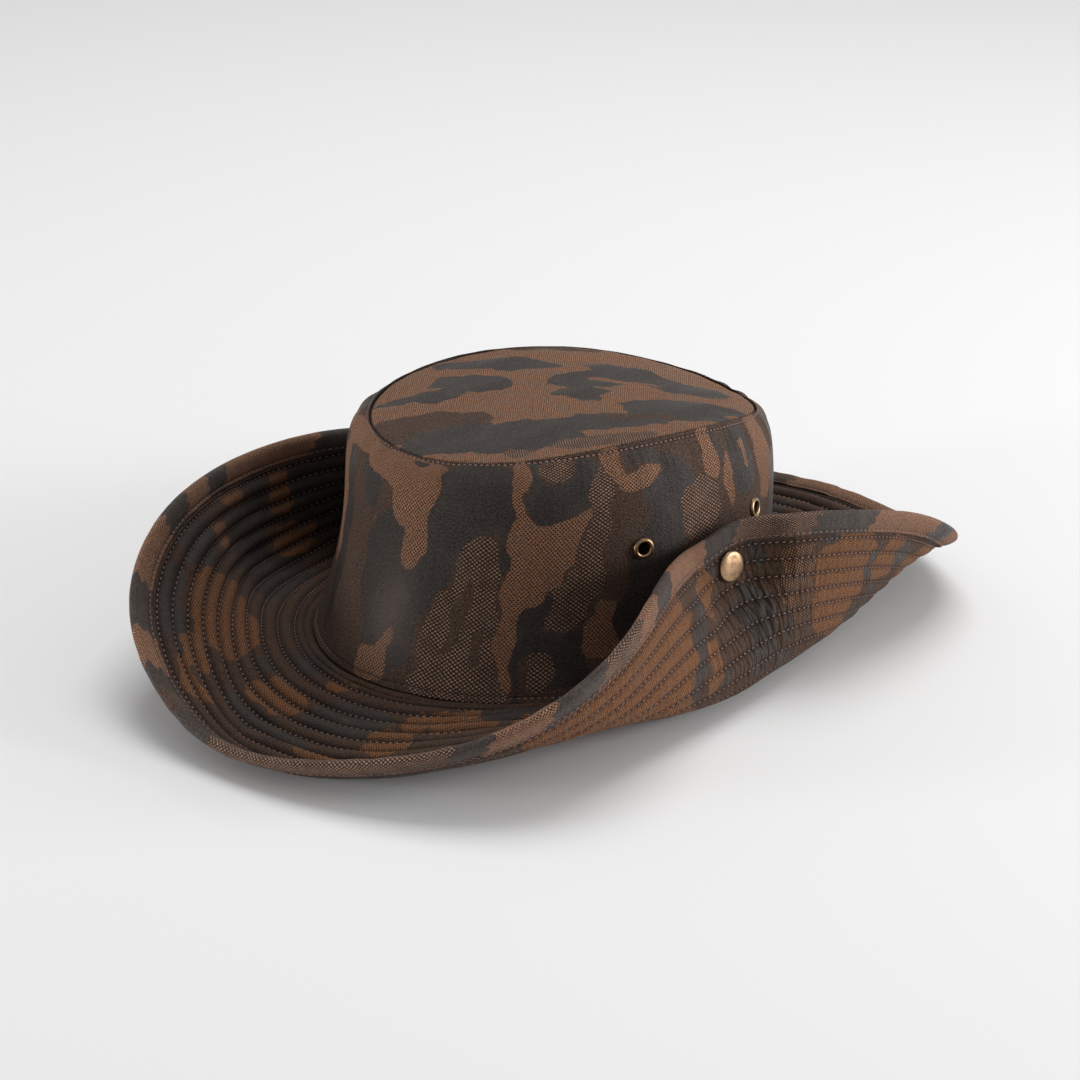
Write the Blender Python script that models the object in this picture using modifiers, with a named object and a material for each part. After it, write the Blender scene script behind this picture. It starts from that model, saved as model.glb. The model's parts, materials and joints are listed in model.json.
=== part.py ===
"""Bush hat with an oval crown and a wide quilted brim that is turned up and snapped at both sides.

The hat's front is -Y, the wearer's left is +X and up is +Z, and it rests on z = 0. Lengths are
metres, unless a table's heading says millimetres. An angle round the hat is 0 at the front, 90 at
the wearer's left, 180 at the back and 270 at the wearer's right.
"""

import math
from typing import NamedTuple

import bmesh
import bpy
import numpy as np
from mathutils import Matrix, Vector

MM = 0.001

# Crown: its middle from the middle of the whole hat's outline, half width and half length of the
# line where it meets the brim, and its height
CROWN_X = -0.0041
CROWN_Y = -0.0012
BASE_HALF_WIDTH = 0.084
BASE_HALF_LENGTH = 0.101
CROWN_HEIGHT = 0.0886
BASE_HEIGHT = 0.0049
BASE_FRONT_RISE = 0.0033
BASE_END_RISE = -0.0004
CROWN_FRONT_RISE = 0.0051
WALL_CLOTH = 0.0015
TOP_CLOTH = 0.0015
TOP_HALF_WIDTH = 0.0675
TOP_HALF_LENGTH = 0.0832
TOP_SHIFT_BACK = 0.0078
TOP_DOME = 0.006
SEAM_LEVEL = 1.12

# Brim: its width from the crown to the rim, and the cloth that makes it
BRIM_WIDTH = 0.0814
BRIM_CLOTH = 0.0026
BRIM_INNER_LIP = 0.0014
BEND_SPAN = 0.43
BINDING_WIDTH = 0.0092
BINDING_CLOTH = 0.001
BINDING_TURNS = (45, 0, -45)
GAP = 0.0003
BINDING_GAP = 0.0008
CROWN_GAP = 0.0011
EYELET_GAP = 0.0009

# Height of the middle of the brim's cloth where the brim lies on the surface below it
REST_HEIGHT = BRIM_CLOTH / 2 - 0.0001

# Sweatband
SWEATBAND_CLOTH = 0.0012
SWEATBAND_HANG = 0.0042
SWEATBAND_CLEARANCE = 0.0012
SWEATBAND_REST = 0.0006
SWEATBAND_LEVELS = (0.02, 0.12, 0.24, 0.36)

# Snaps: the middle of each one in the brim's cloth, and the slope of its cap
SNAP_HALF_SPACING = 0.0848
SNAP_SHIFT_BACK = 0.0145
SNAP_HEIGHT_LEFT = 0.0495
SNAP_HEIGHT_RIGHT = 0.0468
SNAP_SLOPE = math.radians(7)
SNAP_DEPTH = 0.0066
SNAP_FLAT_RADIUS = 0.016
SNAP_PULL_RADIUS = 0.042
SNAP_POST_RADIUS = 0.0017
SNAP_HOLE_RADIUS = 0.0020

EYELET_HOLE_RADIUS = 0.0031

# Cutters: how deep they go, and the block under the surface that the hat rests on
WALL_DRILL_DEPTH = 0.02
BRIM_DRILL_DEPTH = 0.012
FLOOR_SIZE = (0.6, 0.6, 0.02)

# How finely the surfaces are cut: places round the hat, steps across the brim, and sides of the
# turned pieces and of the holes
STATIONS = 60
SPLINE_STEPS = 82
CAP_SIDES = 20
SOCKET_SIDES = 16
STUD_SIDES = 12
EYELET_SIDES = 12
HOLE_SIDES = 16


class BrimSection(NamedTuple):
    """How the brim runs out from the crown at one angle round the hat."""

    angle: float
    leave: float
    edge: float
    bend: float
    turn: float


# Degrees round the hat, slope where the brim leaves the crown, slope at the rim, where between
# them the bend lies as a share of the width, and how far the outer part turns towards the back
BRIM_SECTIONS = (
    BrimSection(0.0, -9, 31, 0.66, 0),
    BrimSection(22.5, -5, 46, 0.77, -13),
    BrimSection(45.0, 10, 61, 0.77, -7),
    BrimSection(67.5, 9, 100, 0.45, 2),
    BrimSection(90.0, -13, 119, 0.26, 1),
    BrimSection(112.5, -15, 88, 0.21, 7),
    BrimSection(135.0, 0, 59, 0.35, 10),
    BrimSection(157.5, 9, 14, 0.50, -4),
    BrimSection(180.0, 0, 10, 0.31, 0),
    BrimSection(202.5, -2, 13, 0.35, 0),
    BrimSection(225.0, -5, 55, 0.36, -5),
    BrimSection(247.5, -13, 92, 0.29, -4),
    BrimSection(270.0, -13, 117, 0.26, -1),
    BrimSection(292.5, -7, 86, 0.35, 6),
    BrimSection(315.0, 1, 70, 0.31, 16),
    BrimSection(337.5, 0, 35, 0.27, 4),
)


class WallRing(NamedTuple):
    """One level of the crown's side wall, against the line where it meets the brim."""

    level: float
    narrower: float
    shorter: float
    shift_back: float


# Share of the crown's height, then three lengths in millimetres
WALL_RINGS = (
    WallRing(0.0, 0.0, 0.0, 0.0),
    WallRing(0.30, 6.0, 6.0, 3.4),
    WallRing(0.62, 7.9, 9.0, 7.4),
    WallRing(0.88, 7.9, 12.3, 7.3),
)


class SeamWave(NamedTuple):
    """One wave in the height of the seam round the crown's top."""

    times_round: int
    front: float
    side: float


# Waves in one turn, then their height at the front and at the side in millimetres
SEAM_WAVES = (
    SeamWave(1, 4.4, 1.8),
    SeamWave(2, -4.5, 1.0),
    SeamWave(3, 0.3, -1.2),
)


class VentPlace(NamedTuple):
    """Where one pair of eyelets sits, at the same place on the left and on the right."""

    end: str
    level: float
    angle: float


# Name, share of the crown's height, and angle in degrees from the front
VENT_PLACES = (
    VentPlace("front", 0.63, 73.0),
    VentPlace("back", 0.67, 110.5),
)

# Steps to both sides of a place, over which the wall's slope there is read
PROBE_LEVEL = 0.01
PROBE_DEGREES = 0.5

# Rows of the lofts: shares of the crown's height and of the top's radius, and distances out
WALL_LEVELS = (0.0, 0.14, 0.30, 0.44, 0.58, 0.74, 0.90, 1.02, SEAM_LEVEL)
TOP_SHARES = (0.0, 0.34, 0.62, 0.84, 1.0)
BRIM_ROWS_MM = (6, 12, 18, 24, 31, 39, 48, 57, 66, 72.5)


# Curves and surfaces


def round_spline(values, angles):
    """Smooth closed curve through equally spaced values, read at angles in radians."""
    values = np.asarray(values, float)
    count = len(values)
    step = 2 * math.pi / count
    one = np.eye(count)
    system = one * 2 / 3 + (np.roll(one, 1, 1) + np.roll(one, -1, 1)) / 6
    bends = np.linalg.solve(system, np.roll(values, -1) - 2 * values + np.roll(values, 1))
    place = np.mod(angles, 2 * math.pi) / step
    low = np.floor(place).astype(int) % count
    high = (low + 1) % count
    b = place - np.floor(place)
    a = 1 - b
    straight = a * values[low] + b * values[high]
    return straight + ((a**3 - a) * bends[low] + (b**3 - b) * bends[high]) / 6


def path_spline(knots, rows, at):
    """Smooth open curve through rows at the knots, read at the places in at."""
    knots, rows, at = np.asarray(knots, float), np.asarray(rows, float), np.asarray(at, float)
    last = len(knots) - 1
    gaps = np.diff(knots)
    slopes = np.diff(rows, axis=0) / gaps.reshape(-1, *[1] * (rows.ndim - 1))
    system = np.eye(last + 1)
    right = np.zeros_like(rows)
    for k in range(1, last):
        system[k, k - 1 : k + 2] = gaps[k - 1], 2 * (gaps[k - 1] + gaps[k]), gaps[k]
        right[k] = 6 * (slopes[k] - slopes[k - 1])
    bends = np.linalg.solve(system, right.reshape(last + 1, -1)).reshape(rows.shape)
    low = np.clip(np.searchsorted(knots, at, side="right") - 1, 0, last - 1)
    shape = (-1, *[1] * (rows.ndim - 1))
    gap = gaps[low].reshape(shape)
    b = ((at - knots[low]) / gaps[low]).reshape(shape)
    a = 1 - b
    curve = ((a**3 - a) * bends[low] + (b**3 - b) * bends[low + 1]) * gap**2 / 6
    return a * rows[low] + b * rows[low + 1] + curve


def smooth_step(x):
    """0 below 0, 1 above 1, and a smooth rise between."""
    x = np.clip(x, 0, 1)
    return x * x * (3 - 2 * x)


def ring_angles(count=STATIONS):
    """Equally spaced angles round the hat, in radians."""
    return np.arange(count) * 2 * math.pi / count


def oval(half_width, half_length, shift_back, height, angles):
    """Points round an oval, whose height may change with the angle."""
    x = CROWN_X + half_width * np.sin(angles)
    y = CROWN_Y + shift_back - half_length * np.cos(angles)
    return np.stack([x, y, np.broadcast_to(height, x.shape)], -1)


def base_height(angles):
    """Height of the line where the crown meets the brim."""
    return BASE_HEIGHT + BASE_FRONT_RISE * np.cos(angles) + BASE_END_RISE * np.cos(2 * angles)


def press(points, middle, normal):
    """Draws the cloth round a snap onto the snap's plane, less and less further out."""
    offset = points - middle
    distance = np.linalg.norm(offset, axis=-1)
    reach = SNAP_PULL_RADIUS - SNAP_FLAT_RADIUS
    share = 1 - smooth_step((distance - SNAP_FLAT_RADIUS) / reach)
    return points - (share * (offset @ normal))[..., None] * normal


def snap_frame(side):
    """Middle of the snap in the brim's cloth and the way that its cap faces, with side 1 or -1."""
    height = SNAP_HEIGHT_LEFT if side > 0 else SNAP_HEIGHT_RIGHT
    middle = np.array([CROWN_X + side * SNAP_HALF_SPACING, CROWN_Y + SNAP_SHIFT_BACK, height])
    normal = np.array([side * math.cos(SNAP_SLOPE), 0, math.sin(SNAP_SLOPE)])
    return middle, normal


def brim_surface(distances, angles):
    """Middle of the brim's cloth at distances out from the crown, as rows of points."""
    table = np.array(BRIM_SECTIONS, float)
    leave, edge, turn = (np.radians(round_spline(table[:, k], angles)) for k in (1, 2, 4))
    bend = round_spline(table[:, 3], angles)
    share = np.linspace(0, 1, SPLINE_STEPS + 1)[:, None]
    bent = smooth_step((share - bend + BEND_SPAN / 2) / BEND_SPAN)
    slope = leave + (edge - leave) * bent
    heading = np.arctan2(np.sin(angles) / BASE_HALF_WIDTH, np.cos(angles) / BASE_HALF_LENGTH)
    heading = heading + turn * bent
    level = np.cos(slope)
    along = np.stack([level * np.sin(heading), -level * np.cos(heading), np.sin(slope)], -1)
    steps = (along[1:] + along[:-1]) * BRIM_WIDTH / SPLINE_STEPS / 2
    start = oval(BASE_HALF_WIDTH, BASE_HALF_LENGTH, 0, base_height(angles), angles)
    rows = np.concatenate([start[None], start + np.cumsum(steps, 0)])
    rows[..., 2] = REST_HEIGHT + np.maximum(rows[..., 2] - REST_HEIGHT, 0)
    for side in (1, -1):
        rows = press(rows, *snap_frame(side))
    place = np.asarray(distances, float) / BRIM_WIDTH * SPLINE_STEPS
    low = np.clip(np.floor(place).astype(int), 0, SPLINE_STEPS - 1)
    part = (place - low)[:, None, None]
    return rows[low] * (1 - part) + rows[low + 1] * part


def wall_surface(levels, angles):
    """Outer face of the crown's side wall, from the brim at level 0 to the seam at SEAM_LEVEL."""
    rings = []
    for ring in WALL_RINGS:
        front = CROWN_FRONT_RISE * np.cos(angles) * ring.level
        height = base_height(angles) * (1 - ring.level) + BASE_HEIGHT * ring.level + front
        half_width = BASE_HALF_WIDTH - ring.narrower * MM
        half_length = BASE_HALF_LENGTH - ring.shorter * MM
        height = height + ring.level * CROWN_HEIGHT
        rings.append(oval(half_width, half_length, ring.shift_back * MM, height, angles))
    rings.append(seam_ring(angles))
    knots = [ring.level for ring in WALL_RINGS] + [SEAM_LEVEL]
    rows = path_spline(knots, rings, levels)
    for side in (1, -1):
        middle, normal = snap_frame(side)
        rows = press(rows, middle - SNAP_DEPTH * normal, normal)
    return rows


def seam_ring(angles):
    """The seam round the crown's top."""
    height = np.full_like(angles, BASE_HEIGHT + CROWN_HEIGHT)
    for wave in SEAM_WAVES:
        height += wave.front * MM * np.cos(wave.times_round * angles)
        height += wave.side * MM * np.sin(wave.times_round * angles)
    return oval(TOP_HALF_WIDTH, TOP_HALF_LENGTH, TOP_SHIFT_BACK, height, angles)


def top_surface(shares, angles, inset):
    """Outer face of the crown's top, from its middle at share 0 to its edge, inset from the seam."""
    seam = seam_ring(angles)
    middle = np.array([CROWN_X, CROWN_Y + TOP_SHIFT_BACK, BASE_HEIGHT + CROWN_HEIGHT])
    shrink = 1 - inset / TOP_HALF_WIDTH
    rows = []
    for share in np.asarray(shares) * shrink:
        row = middle + (seam - middle) * share
        row[:, 2] = middle[2] + (seam[:, 2] - middle[2]) * share**2 + TOP_DOME * (1 - share**2)
        rows.append(row)
    return np.array(rows)


def surface_normals(rows):
    """Unit normals of a surface whose rows are closed rings."""
    across = np.gradient(rows, axis=0)
    around = np.roll(rows, -1, 1) - np.roll(rows, 1, 1)
    normals = np.cross(around, across)
    return normals / np.linalg.norm(normals, axis=-1, keepdims=True)


# Objects


def clear_scene():
    """Removes the objects that a new file starts with."""
    for obj in list(bpy.data.objects):
        bpy.data.objects.remove(obj, do_unlink=True)


def make_material(name, colour, roughness, metallic=0.0):
    """Plain material of one colour."""
    material = bpy.data.materials.new(name)
    material.use_nodes = True
    shader = material.node_tree.nodes["Principled BSDF"]
    shader.inputs["Base Color"].default_value = (*colour, 1)
    shader.inputs["Roughness"].default_value = roughness
    shader.inputs["Metallic"].default_value = metallic
    return material


def add_mesh(name, mesh, collection, material):
    """Object for a mesh, smooth shaded."""
    mesh.materials.append(material)
    mesh.shade_smooth()
    obj = bpy.data.objects.new(name, mesh)
    collection.objects.link(obj)
    return obj


def loft(name, rows, collection, material, pole=False):
    """Open surface through closed rows, whose first row is one point where pole is set.

    Each four-sided face is split in two, the left half's the mirror image of the right half's.
    """
    count = rows.shape[1]
    shape = bmesh.new()
    rings = []
    for k, row in enumerate(rows):
        points = row[:1] if pole and k == 0 else row
        rings.append([shape.verts.new(point) for point in points])
    for lower, upper in zip(rings, rings[1:]):
        for i in range(count):
            j = (i + 1) % count
            if len(lower) == 1:
                shape.faces.new((lower[0], upper[i], upper[j]))
            elif i < count // 2:
                shape.faces.new((lower[i], upper[i], lower[j]))
                shape.faces.new((upper[i], upper[j], lower[j]))
            else:
                shape.faces.new((lower[i], upper[i], upper[j]))
                shape.faces.new((lower[i], upper[j], lower[j]))
    mesh = bpy.data.meshes.new(name)
    shape.to_mesh(mesh)
    shape.free()
    return add_mesh(name, mesh, collection, material)


def thicken(obj, thickness, offset):
    """Gives a surface its thickness: offset 1 keeps it inside, -1 outside, 0 in the middle."""
    solidify = obj.modifiers.new("cloth", "SOLIDIFY")
    solidify.thickness = thickness
    solidify.offset = offset
    solidify.use_even_offset = True


def turned(name, profile_mm, steps, closed, place, collection, material):
    """Turned piece from a profile of (radius, height) in millimetres, about its own Z."""
    points = [(r * MM, 0, z * MM) for r, z in profile_mm]
    edges = [(k, k + 1) for k in range(len(points) - 1)]
    if closed:
        edges.append((len(points) - 1, 0))
    mesh = bpy.data.meshes.new(name)
    mesh.from_pydata(points, edges, [])
    obj = add_mesh(name, mesh, collection, material)
    screw = obj.modifiers.new("turn", "SCREW")
    screw.steps = screw.render_steps = steps
    screw.use_merge_vertices = True
    screw.merge_threshold = 0.00001
    screw.use_smooth_shade = True
    obj.location = place.to_translation()
    obj.rotation_euler = place.to_euler()
    return obj


def cut(obj, cutter):
    """Cuts the cutter's shape out of obj."""
    boolean = obj.modifiers.new("cut " + cutter.name, "BOOLEAN")
    boolean.operation = "DIFFERENCE"
    boolean.solver = "EXACT"
    boolean.object = cutter


def hide_cutter(obj, name, cutters):
    """Puts a new primitive among the cutters."""
    obj.name = name
    obj.hide_render = True
    obj.display_type = "WIRE"
    for collection in list(obj.users_collection):
        collection.objects.unlink(obj)
    cutters.objects.link(obj)
    return obj


def drill(obj, name, place, radius, depth, cutters):
    """Cuts a round hole along the place's Z."""
    bpy.ops.mesh.primitive_cylinder_add(
        vertices=HOLE_SIDES,
        radius=radius,
        depth=depth,
        location=place.to_translation(),
        rotation=place.to_euler(),
    )
    cut(obj, hide_cutter(bpy.context.object, name, cutters))


def axis_place(point, normal):
    """Matrix at a point whose Z is the normal."""
    turn = Vector(normal).to_track_quat("Z", "Y").to_matrix().to_4x4()
    return Matrix.Translation(Vector(point)) @ turn


def wall_place(level, angle):
    """Matrix on the crown's side wall whose Z points out of it."""
    levels = [level - PROBE_LEVEL, level, level + PROBE_LEVEL]
    around = [angle - PROBE_DEGREES, angle, angle + PROBE_DEGREES]
    rows = wall_surface(levels, np.radians(around))
    normal = np.cross(rows[1, 2] - rows[1, 0], rows[2, 1] - rows[0, 1])
    return axis_place(rows[1, 1], normal / np.linalg.norm(normal))


# Sub-parts


def build_crown(collection, cutters, materials):
    """Side wall with its vent and stud holes, and the domed top."""
    angles = ring_angles()
    rows = wall_surface(WALL_LEVELS, angles)
    rows[0, :, 2] += BRIM_CLOTH / 2 + CROWN_GAP
    side_wall = loft("crown_side", rows[::-1], collection, materials["camo_cloth"])
    thicken(side_wall, WALL_CLOTH, -1)
    top = loft(
        "crown_top",
        top_surface(TOP_SHARES, angles, WALL_CLOTH + GAP),
        collection,
        materials["camo_cloth"],
        pole=True,
    )
    thicken(top, TOP_CLOTH, -1)
    for side, side_name in ((1, "left"), (-1, "right")):
        middle, normal = snap_frame(side)
        place = axis_place(middle - SNAP_DEPTH * normal, normal)
        drill(side_wall, "cut_stud_" + side_name, place, SNAP_HOLE_RADIUS, WALL_DRILL_DEPTH, cutters)
        for vent in VENT_PLACES:
            place = wall_place(vent.level, side * vent.angle)
            name = f"{side_name}_{vent.end}"
            drill(side_wall, "cut_eyelet_" + name, place, EYELET_HOLE_RADIUS, WALL_DRILL_DEPTH, cutters)
            build_eyelet("eyelet_" + name, place, collection, materials["antique_brass"])


def build_eyelet(name, place, collection, material):
    """Rolled ring on the wall's outer face, with its barrel through the wall and its inner flange."""
    outer_face = EYELET_GAP / MM
    inner_face = -(WALL_CLOTH + EYELET_GAP) / MM
    profile = (
        (3.4, outer_face + 0.95),
        (4.1, outer_face + 0.65),
        (4.1, outer_face),
        (2.8, outer_face),
        (2.8, inner_face),
        (3.9, inner_face),
        (3.9, inner_face - 0.5),
        (2.4, inner_face - 0.5),
        (2.4, outer_face + 0.5),
        (2.7, outer_face + 0.9),
    )
    turned(name, profile, EYELET_SIDES, True, place, collection, material)


def build_brim(collection, cutters, materials):
    """Quilted cloth of the brim, flat where it rests, and the binding round its rim."""
    angles = ring_angles()
    arc_radius = BRIM_CLOTH / 2 + BINDING_GAP + BINDING_CLOTH / 2
    arc_middle = BRIM_WIDTH - arc_radius - BINDING_CLOTH / 2
    distances = [-BRIM_INNER_LIP, *(d * MM for d in BRIM_ROWS_MM), arc_middle]
    brim = loft("brim", brim_surface(distances, angles), collection, materials["camo_cloth"])
    thicken(brim, BRIM_CLOTH, 0)

    section = [(BRIM_WIDTH - BINDING_WIDTH, arc_radius), (arc_middle, arc_radius)]
    for turn in BINDING_TURNS:
        reach = arc_radius * math.cos(math.radians(turn))
        section.append((arc_middle + reach, arc_radius * math.sin(math.radians(turn))))
    section += [(d, -height) for d, height in section[1::-1]]
    probe = np.array([d for d, _ in section])
    inner = brim_surface(probe - MM, angles)
    outer = brim_surface(probe, angles)
    around = np.roll(outer, -1, 1) - np.roll(outer, 1, 1)
    normals = np.cross(around, outer - inner)
    normals /= -np.linalg.norm(normals, axis=-1, keepdims=True)
    rows = outer + normals * np.array([height for _, height in section])[:, None, None]
    binding = loft("brim_binding", rows, collection, materials["binding_cloth"])
    thicken(binding, BINDING_CLOTH, 0)

    for side, side_name in ((1, "left"), (-1, "right")):
        place = axis_place(*snap_frame(side))
        drill(brim, "cut_snap_" + side_name, place, SNAP_HOLE_RADIUS, BRIM_DRILL_DEPTH, cutters)
    bpy.ops.mesh.primitive_cube_add(size=1, location=(0, 0, -FLOOR_SIZE[2] / 2))
    floor = hide_cutter(bpy.context.object, "cut_floor", cutters)
    floor.scale = FLOOR_SIZE
    cut(brim, floor)


def build_sweatband(collection, materials):
    """Band inside the bottom of the crown, which hangs a little below the brim's inner edge."""
    angles = ring_angles()
    inset = WALL_CLOTH + SWEATBAND_CLEARANCE
    inner = oval(BASE_HALF_WIDTH - inset, BASE_HALF_LENGTH - inset, 0, base_height(angles), angles)
    low = inner.copy()
    low[:, 2] = np.maximum(inner[:, 2] - SWEATBAND_HANG, SWEATBAND_REST)
    rows = wall_surface(SWEATBAND_LEVELS, angles)
    rows = rows - surface_normals(rows) * inset
    rows = np.concatenate([[low, inner], rows[1:]])
    band = loft("sweatband", rows[::-1], collection, materials["sweatband_cloth"])
    thicken(band, SWEATBAND_CLOTH, -1)


def build_snap(side, side_name, collection, material):
    """Cap and post through the brim, socket behind the brim, and stud in the crown's wall."""
    middle, normal = snap_frame(side)
    place = axis_place(middle, normal)
    face = (BRIM_CLOTH / 2 + GAP) / MM
    wall = -SNAP_DEPTH / MM
    post = SNAP_POST_RADIUS / MM
    hole = SNAP_HOLE_RADIUS / MM
    cap = (
        (0, face + 2.0),
        (3.6, face + 1.85),
        (5.5, face + 1.4),
        (6.25, face + 0.7),
        (6.1, face),
        (post, face),
        (post, -face - 1.3),
        (0, -face - 1.3),
    )
    socket = (
        (5.75, -face),
        (5.75, -face - 2.4),
        (5.2, -face - 2.9),
        (3.3, -face - 2.9),
        (3.3, -face - 1.5),
        (hole, -face - 1.5),
        (hole, -face),
    )
    stud = (
        (0, -face - 1.8),
        (2.6, -face - 1.8),
        (2.9, -face - 2.3),
        (2.6, -face - 3.2),
        (5.2, -face - 3.3),
        (5.2, wall + 0.35),
        (post, wall + 0.35),
        (post, wall - 1.9),
        (4.4, wall - 1.9),
        (4.4, wall - 2.6),
        (0, wall - 2.6),
    )
    turned("snap_cap_" + side_name, cap, CAP_SIDES, False, place, collection, material)
    turned("snap_socket_" + side_name, socket, SOCKET_SIDES, True, place, collection, material)
    turned("snap_stud_" + side_name, stud, STUD_SIDES, False, place, collection, material)


def main():
    clear_scene()
    scene = bpy.context.scene
    collection = bpy.data.collections.new("bush_hat")
    cutters = bpy.data.collections.new("cutters")
    scene.collection.children.link(collection)
    scene.collection.children.link(cutters)
    materials = {
        "camo_cloth": make_material("camo_cloth", (0.06, 0.045, 0.035), 0.9),
        "binding_cloth": make_material("binding_cloth", (0.085, 0.06, 0.045), 0.9),
        "sweatband_cloth": make_material("sweatband_cloth", (0.05, 0.025, 0.02), 0.9),
        "antique_brass": make_material("antique_brass", (0.45, 0.32, 0.16), 0.35, 1.0),
    }
    build_crown(collection, cutters, materials)
    build_brim(collection, cutters, materials)
    build_sweatband(collection, materials)
    for side, side_name in ((1, "left"), (-1, "right")):
        build_snap(side, side_name, collection, materials["antique_brass"])


if __name__ == "__main__":
    main()
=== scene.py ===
"""Looks of a bush hat with a quilted brim that is snapped up at both sides.

The pieces repeat the surfaces of the fixed frame more finely, and add quilting, stitches, bindings,
seams and camouflage. Front is -Y, the wearer's left is +X and up is +Z. Angles round the hat start at
the front and grow towards the wearer's left. Lengths are metres unless a name or heading says
millimetres.
"""

import json
import logging
import math
from dataclasses import dataclass
from enum import Enum
from typing import NamedTuple, Sequence

import bpy
import numpy as np
from mathutils import Euler, Matrix, Vector

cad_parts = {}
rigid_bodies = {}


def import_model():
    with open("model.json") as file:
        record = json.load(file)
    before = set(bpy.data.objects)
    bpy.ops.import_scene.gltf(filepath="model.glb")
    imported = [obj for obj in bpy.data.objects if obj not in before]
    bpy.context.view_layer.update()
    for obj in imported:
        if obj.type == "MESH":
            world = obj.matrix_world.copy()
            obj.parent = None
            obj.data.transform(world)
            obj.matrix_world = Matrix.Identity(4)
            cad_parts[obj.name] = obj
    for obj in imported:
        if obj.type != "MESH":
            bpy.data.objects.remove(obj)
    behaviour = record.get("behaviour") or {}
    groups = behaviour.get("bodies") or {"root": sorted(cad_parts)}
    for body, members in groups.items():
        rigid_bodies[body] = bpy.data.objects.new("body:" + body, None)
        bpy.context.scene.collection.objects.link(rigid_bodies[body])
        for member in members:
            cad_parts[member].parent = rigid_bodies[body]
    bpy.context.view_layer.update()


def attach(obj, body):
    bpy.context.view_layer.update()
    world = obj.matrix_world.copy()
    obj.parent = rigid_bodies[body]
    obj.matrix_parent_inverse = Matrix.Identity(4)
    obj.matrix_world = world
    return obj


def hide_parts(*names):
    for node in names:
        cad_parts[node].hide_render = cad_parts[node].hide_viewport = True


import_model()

logging.basicConfig(level=logging.INFO, format="%(message)s")
log = logging.getLogger("bush_hat")

MM = 0.001
Array = np.ndarray
Colour = tuple[float, float, float]


class Cloth(Enum):
    """What a patch of the camouflage is filled with; all but brown have a mask of this name."""

    BROWN = "brown"
    CHARCOAL = "charcoal"
    HATCH = "hatch"
    DOTS = "dots"


MASKED = (Cloth.CHARCOAL, Cloth.HATCH, Cloth.DOTS)


class Slot(Enum):
    """Material slots of the record."""

    CAMO = "camo_cloth"
    BINDING = "binding_cloth"
    SWEATBAND = "sweatband_cloth"
    BRASS = "antique_brass"


# Curves and surfaces


def smooth_step(x: Array) -> Array:
    """0 below 0, 1 above 1, and a smooth rise between."""
    x = np.clip(x, 0, 1)
    return x * x * (3 - 2 * x)


def bell(x: Array, middle: float, width: float) -> Array:
    """1 at the middle, falling to 0 on both sides as a Gaussian of this width."""
    return np.exp(-(((x - middle) / width) ** 2))


def round_spline(values: Array, angles: Array) -> Array:
    """Smooth closed curve through equally spaced values: a cubic spline that joins its own start.

    Args:
        values: what the curve passes, once round.
        angles: where it is read, in radians.

    Returns:
        A value for each angle.
    """
    count = len(values)
    step = 2 * math.pi / count
    one = np.eye(count)
    system = one * 2 / 3 + (np.roll(one, 1, 1) + np.roll(one, -1, 1)) / 6
    bends = np.linalg.solve(system, np.roll(values, -1) - 2 * values + np.roll(values, 1))
    place = np.mod(angles, 2 * math.pi) / step
    low = np.floor(place).astype(int) % count
    high = (low + 1) % count
    b = place - np.floor(place)
    a = 1 - b
    straight = a * values[low] + b * values[high]
    return straight + ((a**3 - a) * bends[low] + (b**3 - b) * bends[high]) / 6


def path_spline(knots: Sequence[float], rows: Array, at: Array) -> Array:
    """Smooth open curve through rows: a cubic spline with straight ends.

    Args:
        knots: places of the rows.
        rows: what the curve passes, a number or an array at each knot.
        at: where it is read.

    Returns:
        A row for each place.
    """
    knots, rows, at = np.asarray(knots, float), np.asarray(rows, float), np.asarray(at, float)
    last = len(knots) - 1
    gaps = np.diff(knots)
    slopes = np.diff(rows, axis=0) / gaps.reshape(-1, *[1] * (rows.ndim - 1))
    system = np.eye(last + 1)
    right = np.zeros_like(rows)
    for k in range(1, last):
        system[k, k - 1 : k + 2] = gaps[k - 1], 2 * (gaps[k - 1] + gaps[k]), gaps[k]
        right[k] = 6 * (slopes[k] - slopes[k - 1])
    bends = np.linalg.solve(system, right.reshape(last + 1, -1)).reshape(rows.shape)
    low = np.clip(np.searchsorted(knots, at, side="right") - 1, 0, last - 1)
    shape = (-1, *[1] * (rows.ndim - 1))
    gap = gaps[low].reshape(shape)
    b = ((at - knots[low]) / gaps[low]).reshape(shape)
    a = 1 - b
    curve = ((a**3 - a) * bends[low] + (b**3 - b) * bends[low + 1]) * gap**2 / 6
    return a * rows[low] + b * rows[low + 1] + curve


def unit(vectors: Array) -> Array:
    """Vectors of length 1 along the last axis."""
    return vectors / np.maximum(np.linalg.norm(vectors, axis=-1, keepdims=True), 1e-12)


def ring_angles(count: int) -> Array:
    """Equally spaced angles in radians, which start at the back."""
    return np.arange(count) * 2 * math.pi / count - math.pi


def outward_normals(rows: Array) -> Array:
    """Normals of a surface round the hat, across the steps round it and up it.

    Args:
        rows: points, a closed ring in each row.

    Returns:
        A unit vector for each point, away from the hat.
    """
    around = np.roll(rows, -1, 1) - np.roll(rows, 1, 1)
    normals = unit(np.cross(around, np.gradient(rows, axis=0)))
    half = len(rows) // 2
    away = normals[half] * (rows[half] - rows.mean((0, 1)))
    return normals if away.sum() > 0 else -normals


class BrimSection(NamedTuple):
    """How the brim runs out from the crown at one angle, in degrees and shares of its width."""

    angle: float
    leave: float
    edge: float
    bend: float
    turn: float


class WallRing(NamedTuple):
    """One level of the crown's wall against its base: share of the height, then millimetres."""

    level: float
    narrower: float
    shorter: float
    shift_back: float


class SeamWave(NamedTuple):
    """One wave in the height of the top's seam: waves in a turn, then millimetres."""

    times_round: int
    front: float
    side: float


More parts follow.
